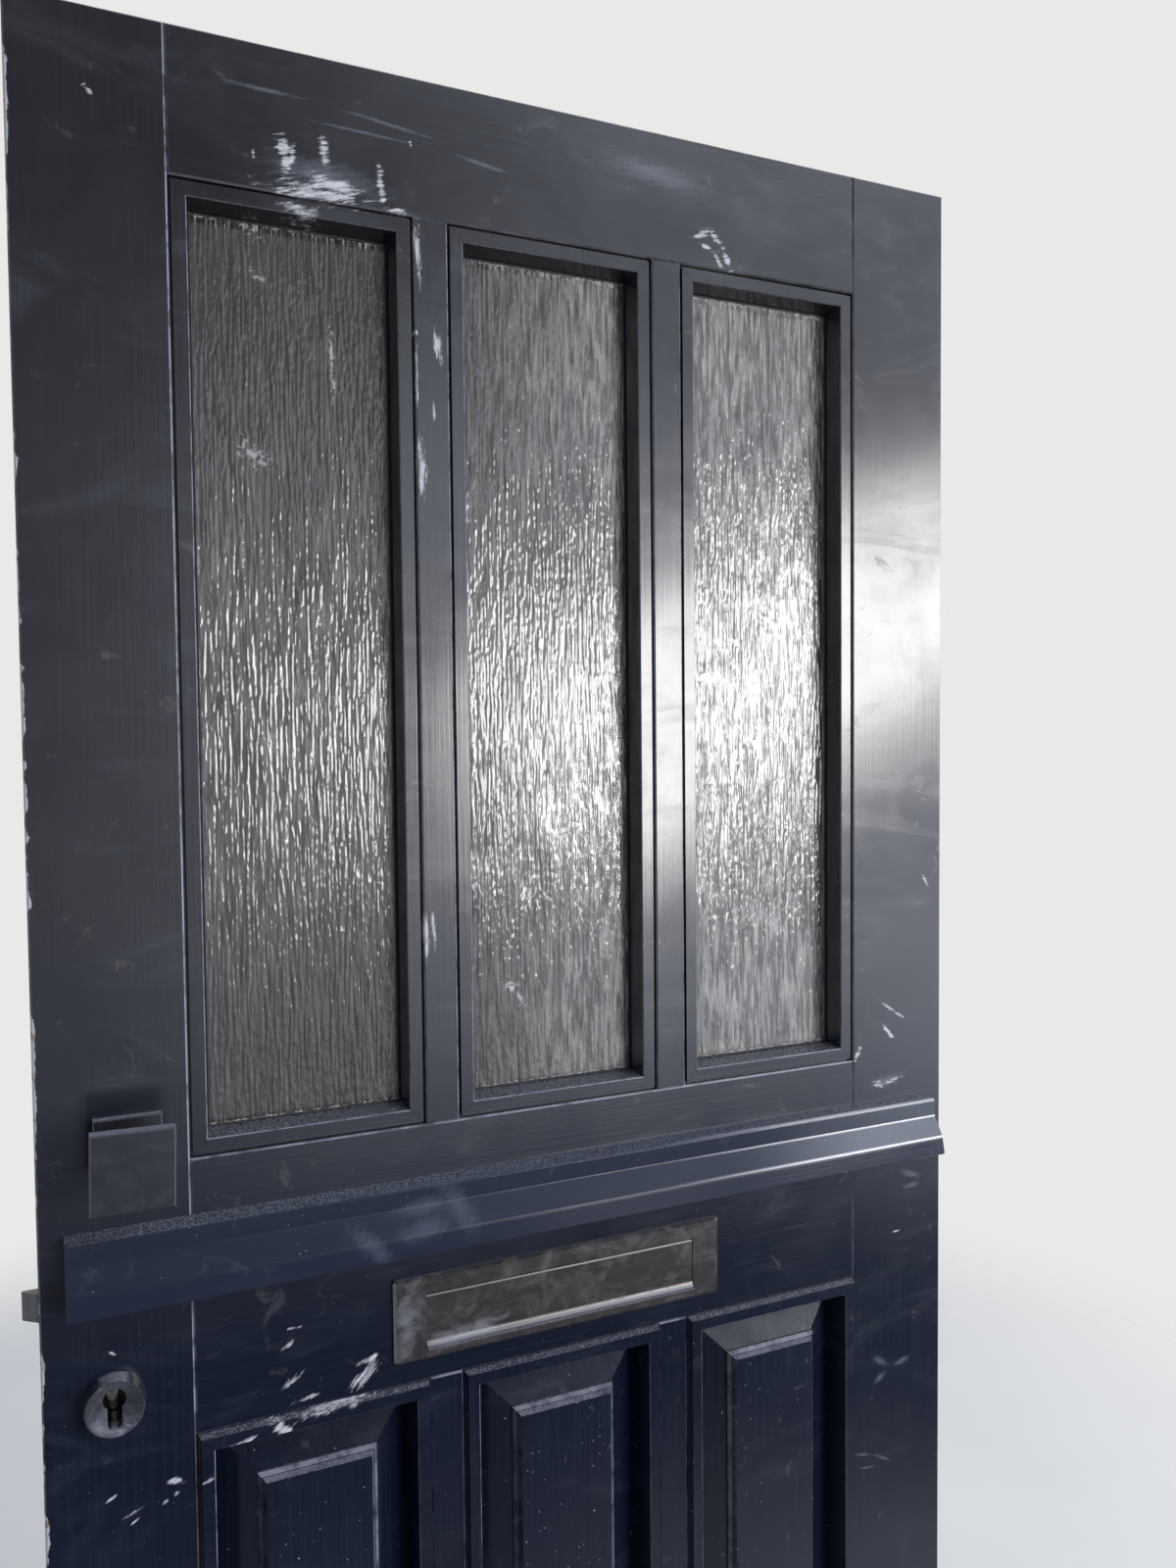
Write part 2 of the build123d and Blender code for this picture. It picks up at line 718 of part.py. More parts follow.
def letter_plate():
    """The outer plate, bevelled all round, with holes for the ends of the flap's pin."""
    y = (letter_front_y, outer_y)
    outline = RectangleRounded(letter_plate_w, letter_plate_h, letter_plate_corner_r)
    body = through_y(Pos(0, letter_plate_z) * outline, y)
    body = chamfer(body.faces().sort_by(Axis.Y)[0].edges(), letter_plate_bevel)
    half_w = letter_opening_w / 2
    body -= slab((-half_w, half_w), y, letter_opening_z)
    reach = half_w + flap_pin_seat + flap_side_gap
    return body - along_x(Pos(flap_pin_y, flap_pin_z) * Circle(flap_pin_r + running_gap), (-reach, reach))


def letter_flap():
    """A sheet hung from a rolled barrel, whose lower edge curls out as a finger lip."""
    back_y = flap_front_y + flap_t
    curl_y = flap_front_y - flap_curl_r
    outer_r = flap_curl_r + flap_t
    angle = math.radians(flap_curl_deg)
    curl_z = letter_opening_z[0] + flap_bottom_gap + outer_r * math.sin(angle)
    front_end = (curl_y + flap_curl_r * math.cos(angle), curl_z - flap_curl_r * math.sin(angle))
    back_end = (curl_y + outer_r * math.cos(angle), curl_z - outer_r * math.sin(angle))
    sheet = make_face([
        Line((back_y, flap_pin_z), (flap_front_y, flap_pin_z)),
        Line((flap_front_y, flap_pin_z), (flap_front_y, curl_z)),
        CenterArc((curl_y, curl_z), flap_curl_r, 0, -flap_curl_deg),
        Line(front_end, back_end),
        CenterArc((curl_y, curl_z), outer_r, -flap_curl_deg, flap_curl_deg),
        Line((back_y, curl_z), (back_y, flap_pin_z)),
    ])
    profile = sheet + Pos(flap_pin_y, flap_pin_z) * Circle(flap_barrel_r)
    profile -= Pos(flap_pin_y, flap_pin_z) * Circle(flap_pin_r + running_gap)
    half_w = letter_opening_w / 2 - flap_side_gap
    return along_x(profile, (-half_w, half_w))


def letter_flap_pin():
    reach = letter_opening_w / 2 + flap_pin_seat
    return along_x(Pos(flap_pin_y, flap_pin_z) * Circle(flap_pin_r), (-reach, reach))


def letter_inner_frame():
    """The plain plate round the slot on the room side."""
    y = (inner_y, inner_y + letter_frame_t)
    outline = RectangleRounded(letter_plate_w, letter_plate_h, letter_plate_corner_r)
    body = through_y(Pos(0, letter_plate_z) * outline, y)
    body = chamfer(body.faces().sort_by(Axis.Y)[-1].edges(), letter_frame_bevel)
    half_w = letter_opening_w / 2
    return body - slab((-half_w, half_w), y, letter_opening_z)


# Hinges

def knuckle_spans(z_centre):
    """The height of each knuckle, from the bottom up, with a running gap between them."""
    pitch = (hinge_h + hinge_knuckle_gap) / hinge_knuckles
    bottom = z_centre - hinge_h / 2
    return [(bottom + i * pitch, bottom + (i + 1) * pitch - hinge_knuckle_gap) for i in range(hinge_knuckles)]


def hinge_leaf(z_centre, side):
    """One leaf of a butt hinge; side is -1 for the leaf in the door and +1 for the frame's."""
    plate_x = span(side * hinge_gap / 2, side * (hinge_gap / 2 + hinge_leaf_t))
    x = (hinge_axis_x + plate_x[0], hinge_axis_x + plate_x[1])
    z = (z_centre - hinge_h / 2, z_centre + hinge_h / 2)
    body = slab(x, (inner_y - hinge_leaf_w, hinge_axis_y), z)
    own_first = 0 if side > 0 else 1
    for i, knuckle_z in enumerate(knuckle_spans(z_centre)):
        if i % 2 == own_first:
            body += rod_z(hinge_axis_x, hinge_axis_y, hinge_knuckle_r, knuckle_z)
        else:
            relief_z = (knuckle_z[0] - hinge_knuckle_gap, knuckle_z[1] + hinge_knuckle_gap)
            body -= rod_z(hinge_axis_x, hinge_axis_y, hinge_knuckle_r + hinge_relief, relief_z)
    body -= rod_z(hinge_axis_x, hinge_axis_y, hinge_pin_r + running_gap, z)
    return body - hinge_screw_holes(z_centre, side)


def hinge_screw_holes(z_centre, side):
    """Four countersunk holes, open towards the other leaf."""
    inner_face_x = hinge_axis_x + side * hinge_gap / 2
    y_centre = inner_y - hinge_leaf_w / 2
    sink = hinge_screw_head_r - hinge_screw_r
    outline = [
        (0, 0),
        (hinge_screw_head_r, 0),
        (hinge_screw_r, sink),
        (hinge_screw_r, hinge_leaf_t),
        (0, hinge_leaf_t),
    ]
    cutter = revolve(make_face(Polyline(*outline, close=True)), Axis.Y)
    turn = Rot(0, 0, -90 * side)
    places = GridLocations(hinge_screw_spacing_y, hinge_screw_spacing_z, 2, 2)
    return [
        Pos(inner_face_x, y_centre + place.position.X, z_centre + place.position.Y) * turn * cutter
        for place in places
    ]


def hinge_pins():
    """A headed pin down each hinge."""
    pins = []
    for z_centre in hinge_heights.values():
        top_z = z_centre + hinge_h / 2
        pin = rod_z(hinge_axis_x, hinge_axis_y, hinge_pin_r, (z_centre - hinge_h / 2, top_z))
        pin += rod_z(hinge_axis_x, hinge_axis_y, hinge_head_r, (top_z, top_z + hinge_head_t))
        pins.extend(pin.solids())
    return Compound(pins)


def build_door():
    """Every piece of the door by its node's name."""
    pieces = {
        "lock_stile": lock_stile(),
        "hinge_stile": hinge_stile(),
        "top_rail": rail(top_rail_z, False, True),
        "lock_rail": lock_rail(),
        "bottom_rail": rail(bottom_rail_z, True, False),
        "drip_moulding": drip_moulding(),
    }
    for name, muntin_x in zip(("left", "right"), muntin_spans()):
        pieces[f"upper_muntin_{name}"] = muntin(muntin_x, light_z)
        pieces[f"lower_muntin_{name}"] = muntin(muntin_x, panel_z)
    for name, x in zip(column_names, columns):
        pieces[f"outer_pane_{name}"] = pane(x, light_z, glass_y)
        pieces[f"inner_pane_{name}"] = pane(x, light_z, rebate_y - pane_t)
        for side, bead in glazing_beads(x, light_z).items():
            pieces[f"bead_{name}_{side}"] = bead
        pieces[f"raised_panel_{name}"] = raised_panel(x, panel_z)
        bars = panel_moulding(x, panel_z).values()
        pieces[f"panel_moulding_{name}"] = Compound([solid for bar in bars for solid in bar.solids()])
    spacers = [spacer(x, light_z) for x in columns]
    pieces["pane_spacers"] = Compound([solid for frame in spacers for solid in frame.solids()])
    for maker in (
        knob_rose, pull_knob, knob_bolt,
        lock_case, lock_faceplate, latch_bolt, deadbolt, lock_follower,
        escutcheon_outer, escutcheon_inner, escutcheon_screws,
        lever_rose, lever_spindle, lever_handle,
        letter_plate, letter_flap, letter_flap_pin, letter_inner_frame, hinge_pins,
    ):
        pieces[maker.__name__] = maker()
    for name, z_centre in hinge_heights.items():
        pieces[f"hinge_door_leaf_{name}"] = hinge_leaf(z_centre, -1)
        pieces[f"hinge_frame_leaf_{name}"] = hinge_leaf(z_centre, 1)
    return pieces


os.makedirs("parts", exist_ok=True)
for node, piece in build_door().items():
    export_step(piece, f"parts/{node}.step")
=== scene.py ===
import math

import bpy
from mathutils import Matrix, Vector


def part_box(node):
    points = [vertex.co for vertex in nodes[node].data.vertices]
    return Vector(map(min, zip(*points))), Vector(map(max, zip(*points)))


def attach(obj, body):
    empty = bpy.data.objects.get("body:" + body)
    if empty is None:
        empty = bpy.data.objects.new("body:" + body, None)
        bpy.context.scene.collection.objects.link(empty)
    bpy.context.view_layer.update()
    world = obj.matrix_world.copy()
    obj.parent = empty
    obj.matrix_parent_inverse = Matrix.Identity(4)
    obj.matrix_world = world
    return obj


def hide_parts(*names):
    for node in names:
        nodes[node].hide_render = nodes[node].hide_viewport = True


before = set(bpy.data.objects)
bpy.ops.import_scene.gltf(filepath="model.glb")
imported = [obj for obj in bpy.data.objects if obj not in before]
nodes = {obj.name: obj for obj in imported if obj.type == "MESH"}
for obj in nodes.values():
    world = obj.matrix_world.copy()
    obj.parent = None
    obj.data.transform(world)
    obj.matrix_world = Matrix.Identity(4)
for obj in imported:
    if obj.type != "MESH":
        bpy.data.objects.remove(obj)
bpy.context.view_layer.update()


# The studio: a pale floor and a pale room behind the door, and in front of it a dim room with a
# window's band of light on the right. A wide soft lamp lies where the paint mirrors it, and another
# rakes across from the hinge side. The camera stands close, left of the door's middle.

def join(tree, node, inputs):
    """A node's inputs are set to values or joined to other nodes' outputs."""
    for key, value in inputs.items():
        if isinstance(value, bpy.types.NodeSocket):
            tree.links.new(value, node.inputs[key])
        else:
            node.inputs[key].default_value = value


def add_node(tree, kind, inputs=None, **settings):
    """A shader node with its settings and inputs."""
    node = tree.nodes.new(kind)
    for key, value in settings.items():
        setattr(node, key, value)
    join(tree, node, inputs or {})
    return node


def calc(tree, operation, *values):
    """A Math node's result."""
    return add_node(tree, "ShaderNodeMath", dict(enumerate(values)), operation=operation).outputs[0]


def chained(tree, operation, values):
    """Several values worked into one, from the first to the last."""
    total = values[0]
    for value in values[1:]:
        total = calc(tree, operation, total, value)
    return total


def product(tree, *values):
    """Several values multiplied together."""
    return chained(tree, "MULTIPLY", values)


def total_of(tree, *values):
    """Several values added up."""
    return chained(tree, "ADD", values)


def fade(tree, value, low, high, to_low=0.0, to_high=1.0):
    """A value carried smoothly from one range to another."""
    return add_node(tree, "ShaderNodeMapRange", {
        "Value": value, "From Min": low, "From Max": high, "To Min": to_low, "To Max": to_high,
    }, interpolation_type="SMOOTHSTEP").outputs[0]


def blend_colour(tree, amount, first, second):
    """Two colours mixed by an amount."""
    node = add_node(tree, "ShaderNodeMix", data_type="RGBA")
    for index, value in ((0, amount), (6, first), (7, second)):
        if isinstance(value, tuple):
            value = (*value, 1.0)
        join(tree, node, {index: value})
    return node.outputs[2]


def new_material(name):
    """A material with its node tree and its main shader."""
    material = bpy.data.materials.new(name)
    material.use_nodes = True
    return material, material.node_tree, material.node_tree.nodes["Principled BSDF"]


behind_light = 0.82
behind_tint = (1.0, 0.995, 0.985)
front_light = 0.13
front_tint = (0.90, 0.97, 1.13)
window_light = 1.35
left_light = 0.3
level_light = 0.14
sky_left_light = 0.06
sky_right_light = 2.4
slats_across = 8.0
slats_up = 1.5
slat_dark = 0.65
slat_bright = 1.25

world = bpy.data.worlds.new("studio_room")
world.use_nodes = True
bpy.context.scene.world = world
tree = world.node_tree
tree.nodes.clear()
direction = add_node(tree, "ShaderNodeTexCoord").outputs["Generated"]
split = add_node(tree, "ShaderNodeSeparateXYZ", {0: direction})
right, behind, up = split.outputs["X"], split.outputs["Y"], split.outputs["Z"]
level = fade(tree, calc(tree, "ABSOLUTE", up), 0.42, 0.20)
slats = add_node(tree, "ShaderNodeCombineXYZ", {
    "X": product(tree, right, slats_across), "Z": product(tree, up, slats_up),
}).outputs[0]
slats = add_node(tree, "ShaderNodeTexNoise", {
    "Vector": slats, "Scale": 1.0, "Detail": 2.0,
}).outputs[0]
window = product(tree, level, fade(tree, right, 0.0, 0.36), window_light)
far_left = fade(tree, right, -0.25, -0.8, 0.0, left_light)
room = total_of(tree, window, far_left, product(tree, level, level_light))
overhead = total_of(tree, up, product(tree, right, 0.3))
sky = product(tree, fade(tree, overhead, 0.42, 0.66),
              fade(tree, right, 0.0, 0.65, sky_left_light, sky_right_light))
room = product(tree, total_of(tree, room, sky, front_light),
               fade(tree, slats, 0.36, 0.64, slat_dark, slat_bright))
in_front = fade(tree, behind, 0.42, 0.05)
strength = add_node(tree, "ShaderNodeMix", {0: in_front, 2: behind_light, 3: room}).outputs[0]
tint = blend_colour(tree, in_front, behind_tint, front_tint)
light = add_node(tree, "ShaderNodeBackground", {"Color": tint, "Strength": strength}).outputs[0]
add_node(tree, "ShaderNodeOutputWorld", {"Surface": light})

floor_middle = (0.1, 0.75, 0.0)
floor_r = 2.4
floor_fade_start = 1.5
floor_fade_end = 2.3
floor_dark = (0.60, 0.60, 0.59)
floor_light = (0.68, 0.68, 0.67)

bpy.ops.mesh.primitive_circle_add(vertices=96, radius=floor_r, fill_type="NGON",
                                  location=floor_middle)
bpy.ops.object.transform_apply()
floor = bpy.context.object
floor.name = "floor"
material, tree, ground = new_material("pale_floor")
place = add_node(tree, "ShaderNodeTexCoord").outputs["Object"]
cloud = add_node(tree, "ShaderNodeTexNoise", {"Vector": place, "Scale": 2.0, "Detail": 4.0})
colour = blend_colour(tree, cloud.outputs[0], floor_dark, floor_light)
from_middle = add_node(tree, "ShaderNodeVectorMath", {0: place, 1: floor_middle},
                       operation="DISTANCE").outputs["Value"]
edge = fade(tree, from_middle, floor_fade_start, floor_fade_end, 1.0, 0.0)
join(tree, ground, {"Base Color": colour, "Roughness": 0.8, "Alpha": edge})
floor.data.materials.append(material)

lamp_colour = (1.0, 0.975, 0.95)
window_place = (Matrix.Translation((4.15, -6.0, 1.95)) @ Matrix.Rotation(math.radians(90), 4, "X")
                @ Matrix.Rotation(math.radians(24), 4, "Z"))
side_place = Matrix.Translation((3.0, 0.0, 1.6)) @ Matrix.Rotation(math.radians(90), 4, "Y")
for name, energy, width, height, place in (
    ("window_lamp", 320.0, 4.4, 1.6, window_place),
    ("side_lamp", 24.0, 1.6, 1.6, side_place),
):
    lamp = bpy.data.lights.new(name, "AREA")
    lamp.shape = "RECTANGLE"
    lamp.size = width
    lamp.size_y = height
    lamp.energy = energy
    lamp.color = lamp_colour
    lamp_object = bpy.data.objects.new(name, lamp)
    bpy.context.scene.collection.objects.link(lamp_object)
    lamp_object.matrix_world = place
    lamp_object.visible_camera = False

camera = bpy.data.cameras.new("camera")
camera.sensor_fit = "VERTICAL"
camera.sensor_height = 24.0
camera.lens = 18.28
camera_object = bpy.data.objects.new("camera", camera)
bpy.context.scene.collection.objects.link(camera_object)
camera_object.matrix_world = Matrix((
    (0.91019, 0.02594, -0.41338, -0.4487),
    (-0.41408, 0.03431, -0.90959, -1.0817),
    (-0.00941, 0.99907, 0.04197, 1.5289),
    (0.0, 0.0, 0.0, 1.0),
))
bpy.context.scene.camera = camera_object
bpy.context.scene.view_settings.view_transform = "Standard"


# The timber: stiles, rails, muntins, raised panels and mouldings, planed, jointed and brushed with
# glossy dark paint, its outer face coloured with painted shade low and at the top and painted light
# between. The paint is rubbed on the arrises, with painted highlight on those facing up or right,
# and chipped to its primer on the lock edge. The outer face has dust on its ledges, specks, and
# smears of white plaster; the drip moulding has a painted sky sheen and painted highlight lines.

def stretched(tree, place, scale, turn=(0.0, 0.0, 0.0)):
    """Coordinates for a pattern that runs longer in one direction."""
    return add_node(tree, "ShaderNodeMapping", {
        "Vector": place, "Scale": scale, "Rotation": turn,
    }).outputs[0]


def noise(tree, place, scale, detail=3.0, roughness=0.55, distortion=0.0):
    """The value of a noise, from 0 to 1."""
    return add_node(tree, "ShaderNodeTexNoise", {
        "Vector": place, "Scale": scale, "Detail": detail, "Roughness": roughness,
        "Distortion": distortion,
    }).outputs[0]


def strokes_near(tree, place, strokes):
    """How near the closest stroke is, up to 1. A stroke is its ends' x, z, x, z and half width."""
    nearest = None
    for x0, z0, x1, z1, half_width in strokes:
        length = math.hypot(x1 - x0, z1 - z0) / 2 + half_width
        turn = math.atan2(z1 - z0, x1 - x0)
        local = add_node(tree, "ShaderNodeMapping", {
            "Vector": place, "Location": ((x0 + x1) / 2, 0.0, (z0 + z1) / 2),
            "Rotation": (0.0, -turn, 0.0), "Scale": (length, 10.0, half_width),
        }, vector_type="TEXTURE").outputs[0]
        away = add_node(tree, "ShaderNodeVectorMath", {0: local}, operation="LENGTH")
        near = calc(tree, "SUBTRACT", 1.0, away.outputs["Value"])
        nearest = near if nearest is None else calc(tree, "MAXIMUM", nearest, near)
    return nearest


# The first three carry painted shade low, painted light at mid-height and painted shade at the top.
paint_low_painted_shade = (0.0038, 0.0070, 0.0190)
paint_middle_painted_light = (0.0225, 0.0218, 0.0250)
paint_top_painted_shade = (0.0130, 0.0127, 0.0142)
paint_inside = (0.0115, 0.0125, 0.0175)
brush_ridge = (0.022, 0.025, 0.038)
wiped_film = (0.060, 0.070, 0.095)
thumbed_grey = (0.120, 0.118, 0.120)
speck_grey = (0.40, 0.40, 0.44)
ledge_dust = (0.27, 0.285, 0.33)
worn_paint_and_highlight = (0.30, 0.31, 0.38)
haze_grey = (0.17, 0.19, 0.25)
plaster_white = (0.56, 0.56, 0.60)
primer_grey = (0.40, 0.40, 0.43)
bare_timber = (0.22, 0.15, 0.11)
bore_shade = (0.004, 0.0035, 0.003)
drip_painted_sky_sheen = (0.044, 0.054, 0.088)
drip_highlight_paint = (0.62, 0.63, 0.67)
ridge_strength = 0.26
film_strength = 0.15
thumbed_strength = 0.16
speck_strength = 0.8
dust_strength = 0.8
haze_strength = 0.32
leaf_top = 2.10


def paint_tone_with_painted_light(tree, height, outside):
    """Outer face: dark blue painted shade low, painted light above, painted shade at the top."""
    colour = blend_colour(tree, fade(tree, height, 0.95, 1.45), paint_low_painted_shade, paint_middle_painted_light)
    colour = blend_colour(tree, fade(tree, height, 1.55, 2.08), colour, paint_top_painted_shade)
    return blend_colour(tree, outside, paint_inside, colour)


def specks_on(tree, place, height):
    """Scattered round specks of two sizes, larger towards the foot of the door."""
    growth = fade(tree, height, 1.35, 0.95, 0.35, 0.8)
    specks = None
    for scale, width, share in ((70.0, 0.080, 0.66), (170.0, 0.14, 0.70)):
        cells = add_node(tree, "ShaderNodeTexVoronoi", {"Vector": place, "Scale": scale})
        chance = add_node(tree, "ShaderNodeSeparateColor", {0: cells.outputs["Color"]})
        size = product(tree, chance.outputs[1], width, growth)
        speck = product(tree, calc(tree, "LESS_THAN", cells.outputs["Distance"], size),
                        calc(tree, "GREATER_THAN", chance.outputs[0], share))
        specks = speck if specks is None else calc(tree, "MAXIMUM", specks, speck)
    return specks


def dust_on_ledges(tree, place, height, facing, outside):
    """Gritty dust on outer faces that look up, but not on the top end of the leaf."""
    ledge = product(tree, fade(tree, facing.outputs["Z"], 0.75, 0.92), outside,
                    calc(tree, "LESS_THAN", height, leaf_top))
    grit = fade(tree, noise(tree, place, 520.0, 4.0, 0.75), 0.46, 0.62, 0.16, 1.0)
    return product(tree, ledge, grit)


def worn_and_highlit_arrises(tree, place, facing, rubbed_and_highlit):
    """Arrises rubbed in patches, with painted highlight strongest where they face up or right."""
    frontal = calc(tree, "ABSOLUTE", facing.outputs["Y"])
    arris = product(tree, fade(tree, frontal, 0.85, 0.76), fade(tree, frontal, 0.45, 0.60), rubbed_and_highlit)
    turned = calc(tree, "MAXIMUM", facing.outputs["X"], facing.outputs["Z"])
    patches = fade(tree, noise(tree, place, 48.0, 5.0, 0.7), 0.36, 0.58, 0.25, 1.0)
    return product(tree, arris, patches, fade(tree, turned, 0.2, 0.5, 0.3, 1.0))


def chips_on_lock_edge(tree, place, across, depth):
    """Ragged chips along the front arris of the lock edge."""
    edge_x = 0.465
    front_y = -0.0215
    torn = noise(tree, stretched(tree, place, (300.0, 300.0, 70.0)), 1.0, 6.0, 0.8)
    width = noise(tree, stretched(tree, place, (1.0, 1.0, 18.0)), 1.0, 3.0)
    width = fade(tree, width, 0.42, 0.60, 0.0032, 0.0072)
    from_edge = total_of(tree, across, edge_x, product(tree, torn, 0.009))
    return product(tree, calc(tree, "LESS_THAN", from_edge, width),
                   calc(tree, "LESS_THAN", depth, front_y))


def inside_of_bore(tree, place, depth):
    """The wall of the bore for the lock cylinder, behind the outer face."""
    bore_place = (-0.410, 0.0, 0.975)
    bore_reach = 0.032
    face_y = -0.0265
    away = add_node(tree, "ShaderNodeVectorMath", {0: place, 1: bore_place}, operation="DISTANCE")
    return product(tree, calc(tree, "LESS_THAN", away.outputs["Value"], bore_reach),
                   calc(tree, "GREATER_THAN", depth, face_y))


def highlight_lines_on_drip(tree, height):
    """Painted highlight lines, partly rubbed paint, on the drip moulding's three rounded arrises.
    """
    lines = None
    for level, half in ((1.1178, 0.0011), (1.0998, 0.0013), (1.0802, 0.0016)):
        away = calc(tree, "ABSOLUTE", calc(tree, "SUBTRACT", height, level))
        line = fade(tree, away, 0.4 * half, half, 1.0, 0.0)
        lines = line if lines is None else calc(tree, "MAXIMUM", lines, line)
    return lines


def painted_timber(name, run, plaster=(), haze=(), rubbed_and_highlit=0.7, chips=False, drip=False, rise=90):
    """Glossy paint brushed along X or Z. Its scuffs rise at an angle in degrees."""
    material, tree, paint = new_material(name)
    coordinates = add_node(tree, "ShaderNodeTexCoord")
    place = coordinates.outputs["Object"]
    split = add_node(tree, "ShaderNodeSeparateXYZ", {0: place})
    across, depth, height = split.outputs["X"], split.outputs["Y"], split.outputs["Z"]
    facing = add_node(tree, "ShaderNodeSeparateXYZ", {0: coordinates.outputs["Normal"]})
    outside = calc(tree, "LESS_THAN", depth, 0.0)

    brush_scale = (5.0, 300.0, 300.0) if run == "X" else (300.0, 300.0, 5.0)
    brushed = noise(tree, stretched(tree, place, brush_scale), 1.0, 4.0, 0.6)
    fine = noise(tree, place, 420.0, 2.0)
    cloud = noise(tree, place, 7.0, 6.0, 0.62, 0.8)
    wiped = stretched(tree, place, (5.0, 9.0, 17.0), (0.0, 0.45, 0.0))
    wiped = noise(tree, wiped, 1.0, 6.0, 0.62, 1.4)
    thumbed = noise(tree, place, 30.0, 5.0, 0.65, 0.8)

    # The outer face's colour is painted light and shade from foot to top.
    colour = paint_tone_with_painted_light(tree, height, outside)
    ridges = fade(tree, brushed, 0.35, 0.75, 0.0, ridge_strength)
    colour = blend_colour(tree, ridges, colour, brush_ridge)
    film = product(tree, fade(tree, wiped, 0.50, 0.80), outside)
    colour = blend_colour(tree, product(tree, film, film_strength), colour, wiped_film)
    spots = product(tree, fade(tree, thumbed, 0.62, 0.72), outside)
    colour = blend_colour(tree, product(tree, spots, thumbed_strength), colour, thumbed_grey)
    specks = product(tree, specks_on(tree, place, height), outside)
    colour = blend_colour(tree, product(tree, specks, speck_strength), colour, speck_grey)
    matt = dust_on_ledges(tree, place, height, facing, outside)
    colour = blend_colour(tree, product(tree, matt, dust_strength), colour, ledge_dust)
    # Rubbed arrises, partly a painted highlight on those facing up or right.
    colour = blend_colour(tree, worn_and_highlit_arrises(tree, place, facing, rubbed_and_highlit), colour, worn_paint_and_highlight)
    relief = total_of(tree, product(tree, brushed, 0.5), product(tree, fine, 0.10),
                      product(tree, specks, 0.8))

    along = add_node(tree, "ShaderNodeMapping", {
        "Vector": place, "Rotation": (0.0, -math.radians(rise), 0.0),
        "Scale": (0.022, 0.004, 0.0034),
    }, vector_type="TEXTURE").outputs[0]
    scratchy = noise(tree, along, 1.0, 6.0, 0.82)
    ragged = product(tree, calc(tree, "SUBTRACT", scratchy, 0.53), 3.4)
    if haze:
        hazy = calc(tree, "ADD", strokes_near(tree, place, haze), product(tree, ragged, 0.45))
        hazy = product(tree, fade(tree, hazy, 0.05, 1.0), outside)
        colour = blend_colour(tree, product(tree, hazy, haze_strength), colour, haze_grey)
        matt = calc(tree, "MAXIMUM", matt, product(tree, hazy, 0.4))
    if plaster:
        white = calc(tree, "ADD", strokes_near(tree, place, plaster), ragged)
        white = fade(tree, white, 0.20, 0.70)
        white = product(tree, white, fade(tree, scratchy, 0.40, 0.60, 0.35, 1.0), outside)
        colour = blend_colour(tree, white, colour, plaster_white)
        matt = calc(tree, "MAXIMUM", matt, white)
    if chips:
        chipped = chips_on_lock_edge(tree, place, across, depth)
        colour = blend_colour(tree, inside_of_bore(tree, place, depth), colour, bore_shade)
        knocked = fade(tree, noise(tree, place, 70.0, 3.0), 0.60, 0.66)
        colour = blend_colour(tree, chipped, colour,
                              blend_colour(tree, knocked, primer_grey, bare_timber))
        matt = calc(tree, "MAXIMUM", matt, chipped)
        relief = calc(tree, "SUBTRACT", relief, product(tree, chipped, 1.2))

    roughness = total_of(tree, fade(tree, cloud, 0.3, 0.7, 0.14, 0.22), product(tree, film, 0.12),
                         product(tree, spots, 0.12), product(tree, matt, 0.5))
    shine = fade(tree, height, 0.93, 1.12, fade(tree, across, -0.15, 0.42, 0.24, 0.56), 0.8)
    if drip:
        shine = product(tree, fade(tree, across, 0.17, 0.38, 0.2, 1.0),
                        fade(tree, height, 1.076, 1.081, 0.12, 1.0))
        # A painted bluish sheen of the sky on the drip moulding, stronger to the right.
        colour = blend_colour(tree, fade(tree, across, -0.3, 0.3, 0.28, 0.42), colour, drip_painted_sky_sheen)
        # Painted highlight, partly rubbed paint, along the drip's arrises towards the right.
        lines = product(tree, highlight_lines_on_drip(tree, height), fade(tree, across, 0.08, 0.32, 0.0, 0.8),
                        fade(tree, brushed, 0.35, 0.5, 0.4, 1.0))
        colour = blend_colour(tree, lines, colour, drip_highlight_paint)
    bump = add_node(tree, "ShaderNodeBump", {
        "Height": relief, "Strength": 0.35, "Distance": 0.0004,
    }).outputs[0]
    join(tree, paint, {
        "Base Color": colour, "Roughness": roughness, "Normal": bump, "Specular IOR Level": shine,
    })
    return material


def dress(material, *names):
    """CAD nodes given one material."""
    for name in names:
        nodes[name].data.materials.clear()
        nodes[name].data.materials.append(material)


upright_paint = painted_timber("upright_paint", "Z")
level_paint = painted_timber("level_paint", "X")
dress(upright_paint, "upper_muntin_right", "lower_muntin_left", "lower_muntin_right",
      "raised_panel_left", "raised_panel_middle", "raised_panel_right", "panel_moulding_middle",
      "panel_moulding_right")
dress(level_paint, "bottom_rail")
for column in ("left", "middle", "right"):
    dress(upright_paint, f"bead_{column}_left", f"bead_{column}_right")
    dress(level_paint, f"bead_{column}_top", f"bead_{column}_bottom")

